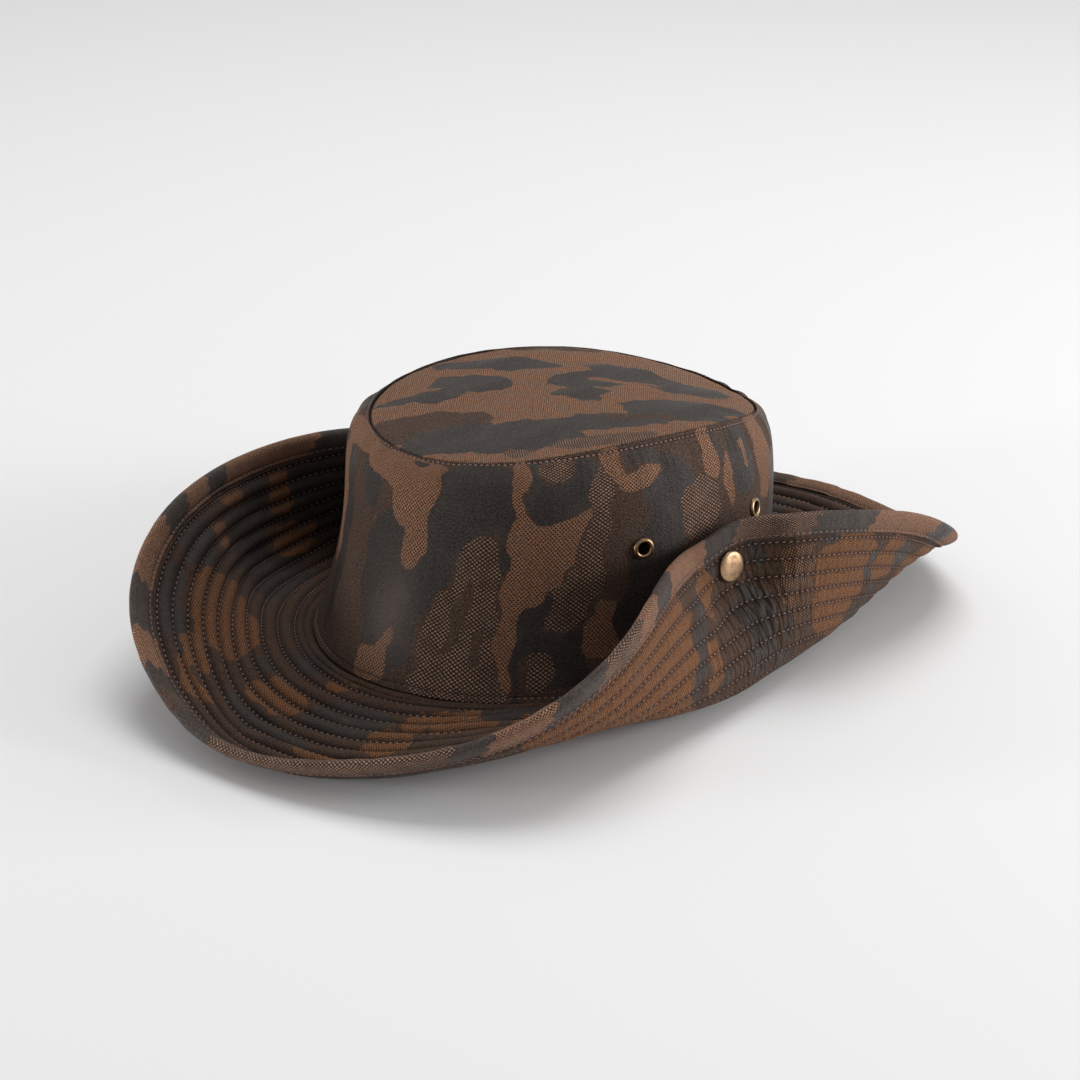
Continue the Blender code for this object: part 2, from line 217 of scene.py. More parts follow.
# Degrees round the hat, slope at the crown, slope at the rim, bend's place, turn towards the back
BRIM_SECTIONS = (
    BrimSection(0.0, -9, 31, 0.66, 0),
    BrimSection(22.5, -5, 46, 0.77, -13),
    BrimSection(45.0, 10, 61, 0.77, -7),
    BrimSection(67.5, 9, 100, 0.45, 2),
    BrimSection(90.0, -13, 119, 0.26, 1),
    BrimSection(112.5, -15, 88, 0.21, 7),
    BrimSection(135.0, 0, 59, 0.35, 10),
    BrimSection(157.5, 9, 14, 0.50, -4),
    BrimSection(180.0, 0, 10, 0.31, 0),
    BrimSection(202.5, -2, 13, 0.35, 0),
    BrimSection(225.0, -5, 55, 0.36, -5),
    BrimSection(247.5, -13, 92, 0.29, -4),
    BrimSection(270.0, -13, 117, 0.26, -1),
    BrimSection(292.5, -7, 86, 0.35, 6),
    BrimSection(315.0, 1, 70, 0.31, 16),
    BrimSection(337.5, 0, 35, 0.27, 4),
)
WALL_RINGS = (
    WallRing(0.0, 0.0, 0.0, 0.0),
    WallRing(0.30, 6.0, 6.0, 3.4),
    WallRing(0.62, 7.9, 9.0, 7.4),
    WallRing(0.88, 7.9, 12.3, 7.3),
)
SEAM_WAVES = (SeamWave(1, 4.4, 1.8), SeamWave(2, -4.5, 1.0), SeamWave(3, 0.3, -1.2))


@dataclass(frozen=True)
class HatForm:
    """Sizes of the hat's surfaces: the frame's own, but for the brim's shorter reach round its snaps.

    A press is two distances from a snap: cloth nearer than the first lies on the snap's plane, and
    cloth past the second is left alone.
    """

    crown_x: float = -0.0041
    crown_y: float = -0.0012
    base_half_width: float = 0.084
    base_half_length: float = 0.101
    crown_height: float = 0.0886
    base_level: float = 0.0049
    base_front_rise: float = 0.0033
    base_end_rise: float = -0.0004
    crown_front_rise: float = 0.0051
    top_half_width: float = 0.0675
    top_half_length: float = 0.0832
    top_shift_back: float = 0.0078
    top_dome: float = 0.006
    seam_level: float = 1.12
    brim_width: float = 0.0814
    bend_span: float = 0.43
    rest_height: float = 0.0012
    steps: int = 82
    snap_half_spacing: float = 0.0848
    snap_shift_back: float = 0.0145
    snap_height_left: float = 0.0495
    snap_height_right: float = 0.0468
    snap_slope: float = math.radians(7)
    snap_depth: float = 0.0066
    brim_press: tuple[float, float] = (0.0085, 0.030)
    wall_press: tuple[float, float] = (0.016, 0.042)

    def oval(
        self, half_width: float, half_length: float, shift_back: float, height: Array, angles: Array
    ) -> Array:
        """Points round an oval, x by the sine and y by the cosine of the angle.

        Args:
            half_width: half its size across the hat.
            half_length: half its size along the hat.
            shift_back: how far its middle lies behind the crown's.
            height: its level, which may change with the angle.
            angles: where the points are.

        Returns:
            A point for each angle.
        """
        x = self.crown_x + half_width * np.sin(angles)
        y = self.crown_y + shift_back - half_length * np.cos(angles)
        return np.stack([x, y, np.broadcast_to(height, x.shape)], -1)

    def base_height(self, angles: Array) -> Array:
        """Height of the line where the crown meets the brim."""
        front = self.base_front_rise * np.cos(angles)
        return self.base_level + front + self.base_end_rise * np.cos(2 * angles)

    def snap(self, side: int) -> tuple[Array, Array]:
        """Place of a snap in the brim's cloth.

        Args:
            side: 1 for the wearer's left, -1 for the right.

        Returns:
            Its middle, and the way its cap faces.
        """
        height = self.snap_height_left if side > 0 else self.snap_height_right
        x = self.crown_x + side * self.snap_half_spacing
        middle = np.array([x, self.crown_y + self.snap_shift_back, height])
        return middle, np.array([side * math.cos(self.snap_slope), 0, math.sin(self.snap_slope)])

    def press(self, points: Array, middle: Array, normal: Array, reach: tuple[float, float]) -> Array:
        """Draws cloth round a snap onto the snap's plane, less and less further out.

        Args:
            points: the cloth.
            middle: a point of the plane.
            normal: the plane's unit normal.
            reach: the two distances of a press.

        Returns:
            The points, moved along the normal.
        """
        offset = points - middle
        distance = np.linalg.norm(offset, axis=-1)
        share = 1 - smooth_step((distance - reach[0]) / (reach[1] - reach[0]))
        return points - (share * (offset @ normal))[..., None] * normal

    def brim(self, distances: Array, angles: Array) -> Array:
        """Middle of the brim's cloth.

        Args:
            distances: places along the cloth, out from the crown.
            angles: places round the hat in radians.

        Returns:
            Points, a row for each distance.
        """
        table = np.array(BRIM_SECTIONS, float)
        leave, edge, turn = (np.radians(round_spline(table[:, k], angles)) for k in (1, 2, 4))
        bend = round_spline(table[:, 3], angles)
        share = np.linspace(0, 1, self.steps + 1)[:, None]
        bent = smooth_step((share - bend + self.bend_span / 2) / self.bend_span)
        slope = leave + (edge - leave) * bent
        heading = np.arctan2(np.sin(angles) / self.base_half_width, np.cos(angles) / self.base_half_length)
        heading = heading + turn * bent
        level = np.cos(slope)
        along = np.stack([level * np.sin(heading), -level * np.cos(heading), np.sin(slope)], -1)
        steps = (along[1:] + along[:-1]) * self.brim_width / self.steps / 2
        start = self.oval(self.base_half_width, self.base_half_length, 0, self.base_height(angles), angles)
        rows = np.concatenate([start[None], start + np.cumsum(steps, 0)])
        rows[..., 2] = self.rest_height + np.maximum(rows[..., 2] - self.rest_height, 0)
        for side in (1, -1):
            rows = self.press(rows, *self.snap(side), self.brim_press)
        place = np.asarray(distances, float) / self.brim_width * self.steps
        low = np.clip(np.floor(place).astype(int), 0, self.steps - 1)
        part = (place - low)[:, None, None]
        return rows[low] * (1 - part) + rows[low + 1] * part

    def brim_normals(self, distances: Array, angles: Array) -> Array:
        """Normals of the brim, across its steps out and round.

        Args:
            distances: places along the cloth, out from the crown.
            angles: places round the hat.

        Returns:
            Unit vectors on its upper side, the one towards the crown.
        """
        distances = np.asarray(distances, float)
        out = self.brim(distances + MM, angles) - self.brim(distances - MM, angles)
        middle = self.brim(distances, angles)
        around = np.roll(middle, -1, 1) - np.roll(middle, 1, 1)
        return unit(-np.cross(around, out))

    def seam(self, angles: Array) -> Array:
        """The seam round the crown's top: an oval whose height goes up and down in three waves.

        Args:
            angles: places round the hat.

        Returns:
            A point for each angle.
        """
        height = np.full_like(angles, self.base_level + self.crown_height)
        for wave in SEAM_WAVES:
            height = height + wave.front * MM * np.cos(wave.times_round * angles)
            height = height + wave.side * MM * np.sin(wave.times_round * angles)
        return self.oval(self.top_half_width, self.top_half_length, self.top_shift_back, height, angles)

    def wall(self, levels: Array, angles: Array) -> Array:
        """Outer face of the crown's wall: a smooth curve up through its rings at each angle.

        Args:
            levels: shares of the height, from 0 at the brim to seam_level at the seam.
            angles: places round the hat.

        Returns:
            Points, a ring for each level.
        """
        rings = []
        for ring in WALL_RINGS:
            front = self.crown_front_rise * np.cos(angles) * ring.level
            height = self.base_height(angles) * (1 - ring.level) + self.base_level * ring.level + front
            half_width = self.base_half_width - ring.narrower * MM
            half_length = self.base_half_length - ring.shorter * MM
            height = height + ring.level * self.crown_height
            rings.append(self.oval(half_width, half_length, ring.shift_back * MM, height, angles))
        rings.append(self.seam(angles))
        knots = [ring.level for ring in WALL_RINGS] + [self.seam_level]
        rows = path_spline(knots, np.array(rings), levels)
        for side in (1, -1):
            middle, normal = self.snap(side)
            rows = self.press(rows, middle - self.snap_depth * normal, normal, self.wall_press)
        return rows

    def top(self, shares: Array, angles: Array) -> Array:
        """Outer face of the top: straight lines out to the seam, raised to a dome.

        Args:
            shares: places from the top's middle at 0 to the seam at 1.
            angles: places round the hat.

        Returns:
            Points, a ring for each share.
        """
        seam = self.seam(angles)
        middle = np.array(
            [self.crown_x, self.crown_y + self.top_shift_back, self.base_level + self.crown_height]
        )
        share = np.broadcast_to(shares[:, None], (len(shares), len(angles)))[..., None]
        rows = middle + (seam - middle) * share
        dome = self.top_dome * (1 - share[..., 0] ** 2)
        rows[..., 2] = middle[2] + (seam[:, 2] - middle[2]) * share[..., 0] ** 2 + dome
        return rows


FORM = HatForm()


# Camouflage


class Patch(NamedTuple):
    """One blot of the camouflage.

    On the crown's wall and the brim, along is degrees round the hat and half_along too, and up is
    millimetres above the base or out from the crown. On the top both are millimetres. Lean turns
    the blot, in degrees.
    """

    along: float
    up: float
    half_along: float
    half_up: float
    lean: float
    cloth: Cloth


def chart(*rows: tuple) -> tuple[Patch, ...]:
    """Patches from rows of their bare values."""
    return tuple(Patch(*row) for row in rows)


B, C, H, D = Cloth.BROWN, Cloth.CHARCOAL, Cloth.HATCH, Cloth.DOTS

# Degrees from the front, mm above the base, half width, half height, lean, filling
WALL_PATCHES = chart(
    (-29, 55, 4, 24, 0, H), (-22, 88, 15, 10, 0, H), (-22, 42, 3.4, 36, 0, C),
    (-11.5, 38, 3.8, 25, 6, B), (-8, 72, 5, 12, 0, C), (6, 42, 13, 22, 0, C), (8, 20, 9, 14, 0, C),
    (18, 50, 6, 22, 0, C), (4, 84, 16, 13, 0, H), (9.5, 70, 7.5, 13, 6, H), (12, 56, 3.6, 12, 6, H),
    (5, 7, 5.5, 6, 0, H), (8.5, 15, 1.8, 7, 10, H), (10.5, 91, 3.2, 3.6, 0, C),
    (29, 78, 10.5, 20, 0, C), (22, 60, 6, 14, 8, C), (31.5, 44, 6.5, 16, 6, D),
    (29, 20, 10.5, 22, 0, D), (31, 5, 14, 7, 0, D), (28, 30, 1.9, 15, 12, B), (34, 20, 1.6, 7, 8, B),
    (38, 60, 1.9, 14, 0, C), (41, 90, 2.6, 11, 0, H), (40.3, 74, 1.5, 10, 0, H),
    (48, 60, 9.5, 11, 0, H), (54, 72, 5, 9, 20, H), (46, 46, 7.5, 13, 6, H), (42.5, 28, 4, 16, 0, H),
    (42.5, 13, 1.9, 9, 0, H), (50, 76, 8.3, 8, -24, C), (45, 87, 1.6, 13, 0, C),
    (57, 87, 4.2, 11, 0, C), (50.5, 92, 4.8, 6.5, 0, D), (61.8, 68, 3.4, 22, 0, D),
    (59.5, 48, 5, 12, 8, D), (55, 36, 6, 8.5, 0, D), (47, 28, 3.6, 8, 20, C), (49.3, 35, 1.5, 5, 20, C),
    (54, 17, 8.5, 10.5, 0, C), (44.8, 13, 1.4, 12, 0, C), (49.5, 13, 3.8, 7, 0, D),
    (46.8, 10, 1.2, 5, 0, B), (65, 25, 5.5, 8, 0, H), (66.5, 34, 3.2, 6, 0, H),
    (67.5, 43, 1.6, 4, 0, H), (67, 57, 3.8, 20, 0, B), (77.5, 52, 7, 26, 0, C), (80, 80, 8, 13, 0, C),
    (71, 30, 3, 10, 0, C), (73, 67, 1.4, 5, 6, B), (65.3, 92, 2.8, 9, -8, H),
    (72.5, 84, 6.2, 4.6, -22, H), (73, 94, 4.5, 3.2, -12, C), (86, 94, 5, 5, 0, B),
    (90, 68, 6.5, 13, 0, D), (95.5, 89, 3.2, 12, 0, H), (98.6, 91, 1.2, 9, 0, C),
    (101, 75, 1.8, 12, 0, H), (108, 82, 5.5, 16, 0, C), (109, 84, 1.3, 6, 0, H), (121, 80, 6, 22, 0, H),
    (130, 60, 5, 16, 0, C),
)
# The way that the streaks of the top's cloth run, from the wearer's left towards the back
STREAK_TURN = math.radians(47.8)
# Millimetres from the top's middle along the streaks of its cloth, and across them
TOP_PATCHES = chart(
    (0, 0, 90, 90, 0, H), (-54, -36, 25, 13, -12, B), (-28, 34, 26, 8, 0, C), (-38, 9, 16, 10, 0, C),
    (-58, -8, 19, 5, -16, C), (-28, -50, 34, 14, 0, C), (8, -38, 30, 9, 0, C), (42, -25, 22, 9, 6, C),
    (8, 12, 16, 10, 0, C), (6, -6, 13, 7, 0, C), (36, 20, 30, 11, 4, C), (46, -13, 26, 8, 4, C),
    (36, -3, 21, 3, 3, H), (19, -8, 5, 3.5, 0, H), (24, 13, 15, 2.4, 0, H), (12, 43, 14, 4.5, 0, H),
    (13, -21, 9, 4, 22, H), (-5, -30, 8, 4, 0, H), (28, -33, 14, 3, 6, B), (14, -60, 19, 6.5, -4, D),
    (-18, -66, 5, 4, 0, D), (24, 32, 16, 5, 4, C), (45, 46, 12, 6, 0, H), (-10, 66, 26, 6, 0, B),
)
# Degrees from the front, mm out from the crown, half sizes, lean, filling
UPPER_PATCHES = chart(
    (-76, 55, 9, 18, 0, C), (-66.5, 62, 2.5, 10, 0, H), (-68, 38, 6, 8, 0, H), (-61, 60, 3, 12, 0, C),
    (-53, 50, 8, 16, 0, C), (-53, 67, 4, 5, 0, H), (-56, 24, 12, 12, 0, C), (-43.5, 57, 2.2, 8, 0, H),
    (-37, 62, 5, 9, 0, C), (-26, 40, 10, 17, 0, H), (-22, 65, 8, 6, 0, C), (-15, 56, 3.5, 7, 0, H),
    (-14, 24, 3, 2.5, 0, C), (-9, 64, 4, 5, 0, H), (-10, 7, 9, 6, 0, C), (-4, 30, 6.5, 10, -15, H),
    (-3, 46, 6, 5, 0, C), (3, 9, 4, 3, 0, H), (13, 26, 9, 11, 0, C), (8, 48, 4, 6, 0, C),
    (14, 52, 5, 3, 0, H), (24, 37, 4.5, 9, 0, H), (26, 22, 1.8, 9, 0, H), (35, 20, 7, 10, 0, H),
    (46, 14, 8, 8, 0, C), (48, 40, 4, 20, 0, H),
)
UNDER_PATCHES = chart(
    (62, 46, 18, 36, 0, H), (81.3, 47, 2.0, 21, 27, C), (89, 62, 3, 10, 10, H), (84, 38, 2, 9, 25, H),
    (92.5, 48, 4.2, 15, 22, B), (86, 32, 1.2, 4, 20, C), (93, 68, 1.6, 3, 0, C),
    (103.5, 67, 1.5, 5, 0, C), (99, 40, 4.2, 17, 16, C), (103.5, 24, 2.5, 4, 0, C),
    (106, 35, .9, 6, 0, C), (109.5, 52, 3.4, 18, 0, D), (119.5, 50, 7, 25, 0, H),
    (115, 69.5, 2, 2, 0, C), (126.8, 57, 1.2, 7, 0, C), (131, 41, 1.8, 7, 0, C), (128, 33, 3, 4, 0, C),
    (131.5, 60, 3.5, 10, 0, H), (135.5, 62, 2.2, 7, -10, C), (142, 60, 4, 12, 0, H),
)


class BandRun(NamedTuple):
    """One run of the binding's cloth: where it starts, in degrees, and what it is."""

    start: float
    cloth: Cloth


# Starts in degrees from the front, each up to the next
BAND_RUNS = tuple(BandRun(*run) for run in (
    (-82, C), (-74, H), (-54, C), (-47, H), (-40, C), (-34, H), (-24, C), (-16, H), (-10, C), (-6, B),
    (-2, C), (5, D), (38, C), (42.5, H), (50, C), (57, D), (64, H), (69, C), (76, H), (92, C), (101, D),
    (113, C), (124, H), (139, C), (144, H), (160, C), (170, H), (188, B), (204, D), (222, C), (236, H),
    (252, C), (266, D),
))


@dataclass(frozen=True)
class Camouflage:
    """Paints blots of cloth onto a surface as soft masks, which the material sharpens.

    Fields: millimetres in a step along, how far edges wander, how wide they fade, and how square a
    blot is.
    """

    mm_per_step: float = 1.45
    warp: float = 2.0
    softness: float = 3.0
    power: float = 2.4

    def warped(self, along: Array, up: Array) -> tuple[Array, Array]:
        """Moves places a little by slow waves, so that edges run unevenly.

        Args:
            along: millimetres round the hat.
            up: millimetres up or out.

        Returns:
            Both, moved.
        """
        a = np.sin(0.23 * along + 0.31 * up + 1.3) + 0.6 * np.sin(0.51 * along - 0.37 * up + 0.4)
        b = np.sin(0.29 * up - 0.19 * along + 2.1) + 0.6 * np.sin(0.47 * up + 0.43 * along + 5.0)
        c = np.sin(1.1 * along + 0.7 * up) * 0.3
        d = np.sin(0.9 * up - 1.0 * along + 1.0) * 0.3
        return along + self.warp * (a + c), up + self.warp * (b + d)

    def paint(self, patches: Sequence[Patch], along: Array, up: Array) -> dict[str, Array]:
        """Paints a surface, each blot as a rounded square that fades at its edge.

        Args:
            patches: blots, of which a later one covers an earlier one.
            along: degrees round the hat or millimetres, as in the patches.
            up: millimetres.

        Returns:
            A mask for each filling but brown, from 0 to 1.
        """
        masks = np.zeros((len(MASKED), *along.shape))
        x, y = self.warped(along * self.mm_per_step, up)
        for patch in patches:
            lean = math.radians(patch.lean)
            dx, dy = x - patch.along * self.mm_per_step, y - patch.up
            half_x, half_y = patch.half_along * self.mm_per_step, patch.half_up
            across = np.abs(dx * math.cos(lean) - dy * math.sin(lean)) / half_x
            height = np.abs(dx * math.sin(lean) + dy * math.cos(lean)) / half_y
            inside = 1 - (across**self.power + height**self.power) ** (1 / self.power)
            share = np.clip(0.5 + inside * min(half_x, half_y) / self.softness, 0, 1)
            target = np.array([patch.cloth is cloth for cloth in MASKED], float)
            masks = masks * (1 - share) + target[:, None, None] * share
        return {cloth.value: mask for cloth, mask in zip(MASKED, masks)}

    def scatter(self, seed: int, low: float, high: float, top: float, size: float) -> list[Patch]:
        """Draws blots for a stretch that the chart leaves out.

        Args:
            seed: start of the random draws.
            low: where the stretch starts, in degrees.
            high: where it ends.
            top: its height in millimetres.
            size: a large blot's half size in millimetres.

        Returns:
            The blots.
        """
        rng = np.random.RandomState(seed)
        kinds = (C, H, C, D, H, B)
        area = (high - low) * self.mm_per_step * top
        made = []
        for k in range(int(area / (size * size * 1.5))):
            half = size * rng.uniform(0.4, 1.0) / self.mm_per_step
            tall = size * rng.uniform(0.7, 1.7)
            along, up = rng.uniform(low, high), rng.uniform(0, top)
            kind = kinds[k % len(kinds)]
            made.append(Patch((along + 180) % 360 - 180, up, half, tall, rng.uniform(-25, 25), kind))
        return made


BRIM_PRINT = Camouflage(mm_per_step=2.2, warp=1.5)
WALL_PRINT = Camouflage(warp=0.8, softness=2.6)
TOP_PRINT = Camouflage(mm_per_step=1.0, warp=1.1, softness=2.6)


# Meshes


@dataclass
class Skin:
    """A closed surface over a grid of points whose rows are rings.

    Fields: points in rows, cloth places in millimetres with one column more than the points, masks by
    name that spread over the grid, and whether the last row joins the first or both ends close in a
    pole.
    """

    points: Array
    cloth: Array
    masks: dict[str, Array | float]
    poles: bool = False

    def build(self, name: str, material: bpy.types.Material) -> bpy.types.Object:
        """Makes the piece, with a UV map named cloth and a point attribute for each mask.

        Args:
            name: the piece's name.
            material: its finish.

        Returns:
            The object, whose faces point out.
        """
        rows, count = self.points.shape[:2]
        column = np.arange(count)
        after = (column + 1) % count
        lower = np.arange(rows - 1 if self.poles else rows)
        upper = (lower + 1) % rows
        low, high = lower[:, None] * count, upper[:, None] * count
        quads = np.stack([low + column, low + after, high + after, high + column], -1).reshape(-1, 4)
        uv = self.cloth
        parts = [uv[lower][:, :-1], uv[lower][:, 1:], uv[upper][:, 1:], uv[upper][:, :-1]]
        places = np.stack(parts, 2).reshape(-1, 2)
        points = self.points.reshape(-1, 3)
        loops, totals = quads.reshape(-1), np.full(len(quads), 4)
        masks = {key: np.broadcast_to(value, (rows, count)) for key, value in self.masks.items()}
        ends = {
            key: [value[0].mean(), value[-1].mean()] if self.poles else [] for key, value in masks.items()
        }
        if self.poles:
            first, last, row = rows * count, rows * count + 1, (rows - 1) * count
            points = np.concatenate([points, self.points[[0, -1]].mean(1)])
            fan_low = np.stack([np.full(count, first), after, column], -1)
            fan_high = np.stack([row + column, row + after, np.full(count, last)], -1)
            loops = np.concatenate([loops, fan_low.reshape(-1), fan_high.reshape(-1)])
            totals = np.concatenate([totals, np.full(2 * count, 3)])
            mid_low, mid_high = (np.broadcast_to(uv[k].mean(0), (count, 2)) for k in (0, -1))
            low_uv = np.stack([mid_low, uv[0, 1:], uv[0, :-1]], 1).reshape(-1, 2)
            high_uv = np.stack([uv[-1, :-1], uv[-1, 1:], mid_high], 1).reshape(-1, 2)
            places = np.concatenate([places, low_uv, high_uv])
        if enclosed(points, loops, totals) < 0:
            loops, places = reversed_corners(loops, len(quads)), reversed_corners(places, len(quads))
        mesh = raw_mesh(name, points, loops, totals)
        mesh.uv_layers.new(name="cloth").uv.foreach_set("vector", places.astype(np.float32).reshape(-1))
        for key, value in masks.items():
            attribute = mesh.attributes.new(key, "FLOAT", "POINT")
            flat = np.concatenate([value.reshape(-1), ends[key]])
            attribute.data.foreach_set("value", flat.astype(np.float32))
        return place_object(name, mesh, material)


def reversed_corners(values: Array, quads: int) -> Array:
    """Turns faces round by listing each one's corners in the opposite order.

    Args:
        values: a value for each corner, of faces with four corners and then of triangles.
        quads: how many faces have four.

    Returns:
        The values in their new order.
    """
    rest = values.shape[1:]
    fours = values[: 4 * quads].reshape(-1, 4, *rest)[:, ::-1].reshape(-1, *rest)
    threes = values[4 * quads :].reshape(-1, 3, *rest)[:, ::-1].reshape(-1, *rest)
    return np.concatenate([fours, threes])


def corner_starts(totals: Array) -> Array:
    """Where each face's corners start, from how many corners the faces have."""
    return np.cumsum(totals) - totals


def enclosed(points: Array, loops: Array, totals: Array) -> float:
    """Volume inside the faces, as a sum of tetrahedra towards the origin.

    Args:
        points: the mesh's points.
        loops: the point of each corner.
        totals: how many corners each face has, 3 or 4.

    Returns:
        Six times the volume, negative where the faces point in.
    """
    starts = corner_starts(totals)
    first, second, third = (points[loops[starts + k]] for k in range(3))
    volume = np.einsum("ij,ij->", first, np.cross(second, third))
    quad = totals == 4
    fourth = points[loops[starts[quad] + 3]]
    return float(volume + np.einsum("ij,ij->", first[quad], np.cross(third[quad], fourth)))


def raw_mesh(name: str, points: Array, loops: Array, totals: Array) -> bpy.types.Mesh:
    """Makes a smooth shaded mesh from arrays.

    Args:
        name: the mesh's name.
        points: its points.
        loops: the point of each corner.
        totals: how many corners each face has.

    Returns:
        The mesh.
    """
    mesh = bpy.data.meshes.new(name)
    mesh.vertices.add(len(points))
    mesh.vertices.foreach_set("co", points.astype(np.float32).reshape(-1))
    mesh.loops.add(len(loops))
    mesh.loops.foreach_set("vertex_index", loops.astype(np.int32))
    mesh.polygons.add(len(totals))
    mesh.polygons.foreach_set("loop_start", corner_starts(totals).astype(np.int32))
    mesh.polygons.foreach_set("loop_total", totals.astype(np.int32))
    mesh.update(calc_edges=True)
    mesh.polygons.foreach_set("use_smooth", np.ones(len(totals), bool))
    return mesh


def place_object(name: str, mesh: bpy.types.Mesh, material: bpy.types.Material) -> bpy.types.Object:
    """Puts a mesh into the scene at the origin.

    Args:
        name: the piece's name.
        mesh: its mesh.
        material: its finish.

    Returns:
        The object.
    """
    mesh.materials.append(material)
    obj = bpy.data.objects.new(name, mesh)
    bpy.context.scene.collection.objects.link(obj)
    return obj


def settle(obj: bpy.types.Object, slot: Slot, *nodes: str) -> None:
    """Hands a finished piece to the frame and reports it.

    Args:
        obj: the piece.
        slot: its slot of the record; not used.
        *nodes: the nodes it stands for.
    """
    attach(obj, "root")
    if nodes:
        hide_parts(*nodes)
    triangles = len(obj.data.loops) - 2 * len(obj.data.polygons)
    log.info("%s: %d triangles", obj.name, triangles)


def strip_places(angles: Array, radius: float, up: Array) -> Array:
    """Places on a strip round the hat in millimetres, with a last column that closes it.

    Args:
        angles: places round the hat.
        radius: of the circle that it is measured on.
        up: places across the strip in millimetres.

    Returns:
        Along and up for each place, a row for each of up.
    """
    turn = np.concatenate([angles, [math.pi]])
    return np.stack(np.broadcast_arrays(turn * radius / MM, up[:, None]), -1)


def add_seam_place(obj: bpy.types.Object, places: Array) -> None:
    """Stores where each point of a piece lies for its wrinkles, as the attribute seam_place.

    Args:
        obj: the piece.
        places: along and up for each point, which poles and such may come after.
    """
    attribute = obj.data.attributes.new("seam_place", "FLOAT_VECTOR", "POINT")
    flat = places.reshape(-1, 2)
    vectors = np.zeros((len(obj.data.vertices), 3), np.float32)
    vectors[: len(flat), :2] = flat
    attribute.data.foreach_set("vector", vectors.reshape(-1))


@dataclass(frozen=True)
class Thread:
    """Stitches of one thread, each a small spindle: their length, pitch, width and height."""

    length: float
    pitch: float
    width: float
    height: float

    def along(self, line: Array, ups: Array, shift: float = 0.0) -> tuple[Array, Array, Array]:
        """Places stitches evenly along a closed line.

        Args:
            line: points of the line.
            ups: the cloth's normal at each.
            shift: where the first stitch lies, in pitches.

        Returns:
            Middles, ways and ups of the stitches.
        """
        closed, ups = (np.concatenate([values, values[:1]]) for values in (line, ups))
        steps = np.linalg.norm(np.diff(closed, axis=0), axis=1)
        place = np.concatenate([[0], np.cumsum(steps)])
        count = max(3, int(place[-1] / self.pitch))
        at = (np.arange(count) + shift) * place[-1] / count

        def read(values: Array, places: Array) -> Array:
            """Vectors of the closed line at places along it."""
            return np.stack([np.interp(places, place, values[:, k]) for k in range(3)], -1)

        middles = read(closed, at)
        return middles, unit(read(closed, at + 0.4 * MM) - middles), unit(read(ups, at))

    def build(
        self, name: str, rows: Sequence[tuple[Array, Array, Array]], material: bpy.types.Material
    ) -> bpy.types.Object:
        """Makes one mesh of all the stitches: one spindle with five sides, set at each place.

        Args:
            name: the piece's name.
            rows: what along gave for each row of stitches.
            material: the thread's finish.

        Returns:
            The object.
        """
        middles, ways, ups = (np.concatenate([row[k] for row in rows]) for k in range(3))
        turn = np.arange(5) * 2 * math.pi / 5
        ring = np.stack([np.zeros(5), np.cos(turn) * self.width / 2, np.sin(turn) * self.height / 2], -1)
        shape = [np.array([[-self.length / 2, 0, -self.height / 4]])]
        for place, swell in ((-0.3, 0.85), (0.0, 1.0), (0.3, 0.85)):
            shape.append(ring * [0, swell, swell] + [place * self.length, 0, 0])
        shape.append(np.array([[self.length / 2, 0, -self.height / 4]]))
        shape = np.concatenate(shape)
        faces = []
        for i in range(5):
            j = (i + 1) % 5
            faces.append((0, 1 + j, 1 + i))
            for start in (1, 6):
                faces.append((start + i, start + j, start + 5 + j))
                faces.append((start + i, start + 5 + j, start + 5 + i))
            faces.append((11 + i, 11 + j, 16))
        basis = np.stack([ways, np.cross(ups, ways), ups], 1)
        points = (middles[:, None] + np.einsum("sk,nkc->nsc", shape, basis)).reshape(-1, 3)
        faces = np.array(faces)[None] + (np.arange(len(middles)) * len(shape))[:, None, None]
        loops, totals = faces.reshape(-1), np.full(faces.size // 3, 3)
        if enclosed(points, loops, totals) < 0:
            loops = reversed_corners(loops, 0)
        return place_object(name, raw_mesh(name, points, loops, totals), material)


# Materials

Socket = bpy.types.NodeSocket
Value = float | tuple | Socket
FLOAT, COLOUR, VECTOR = "NodeSocketFloat", "NodeSocketColor", "NodeSocketVector"


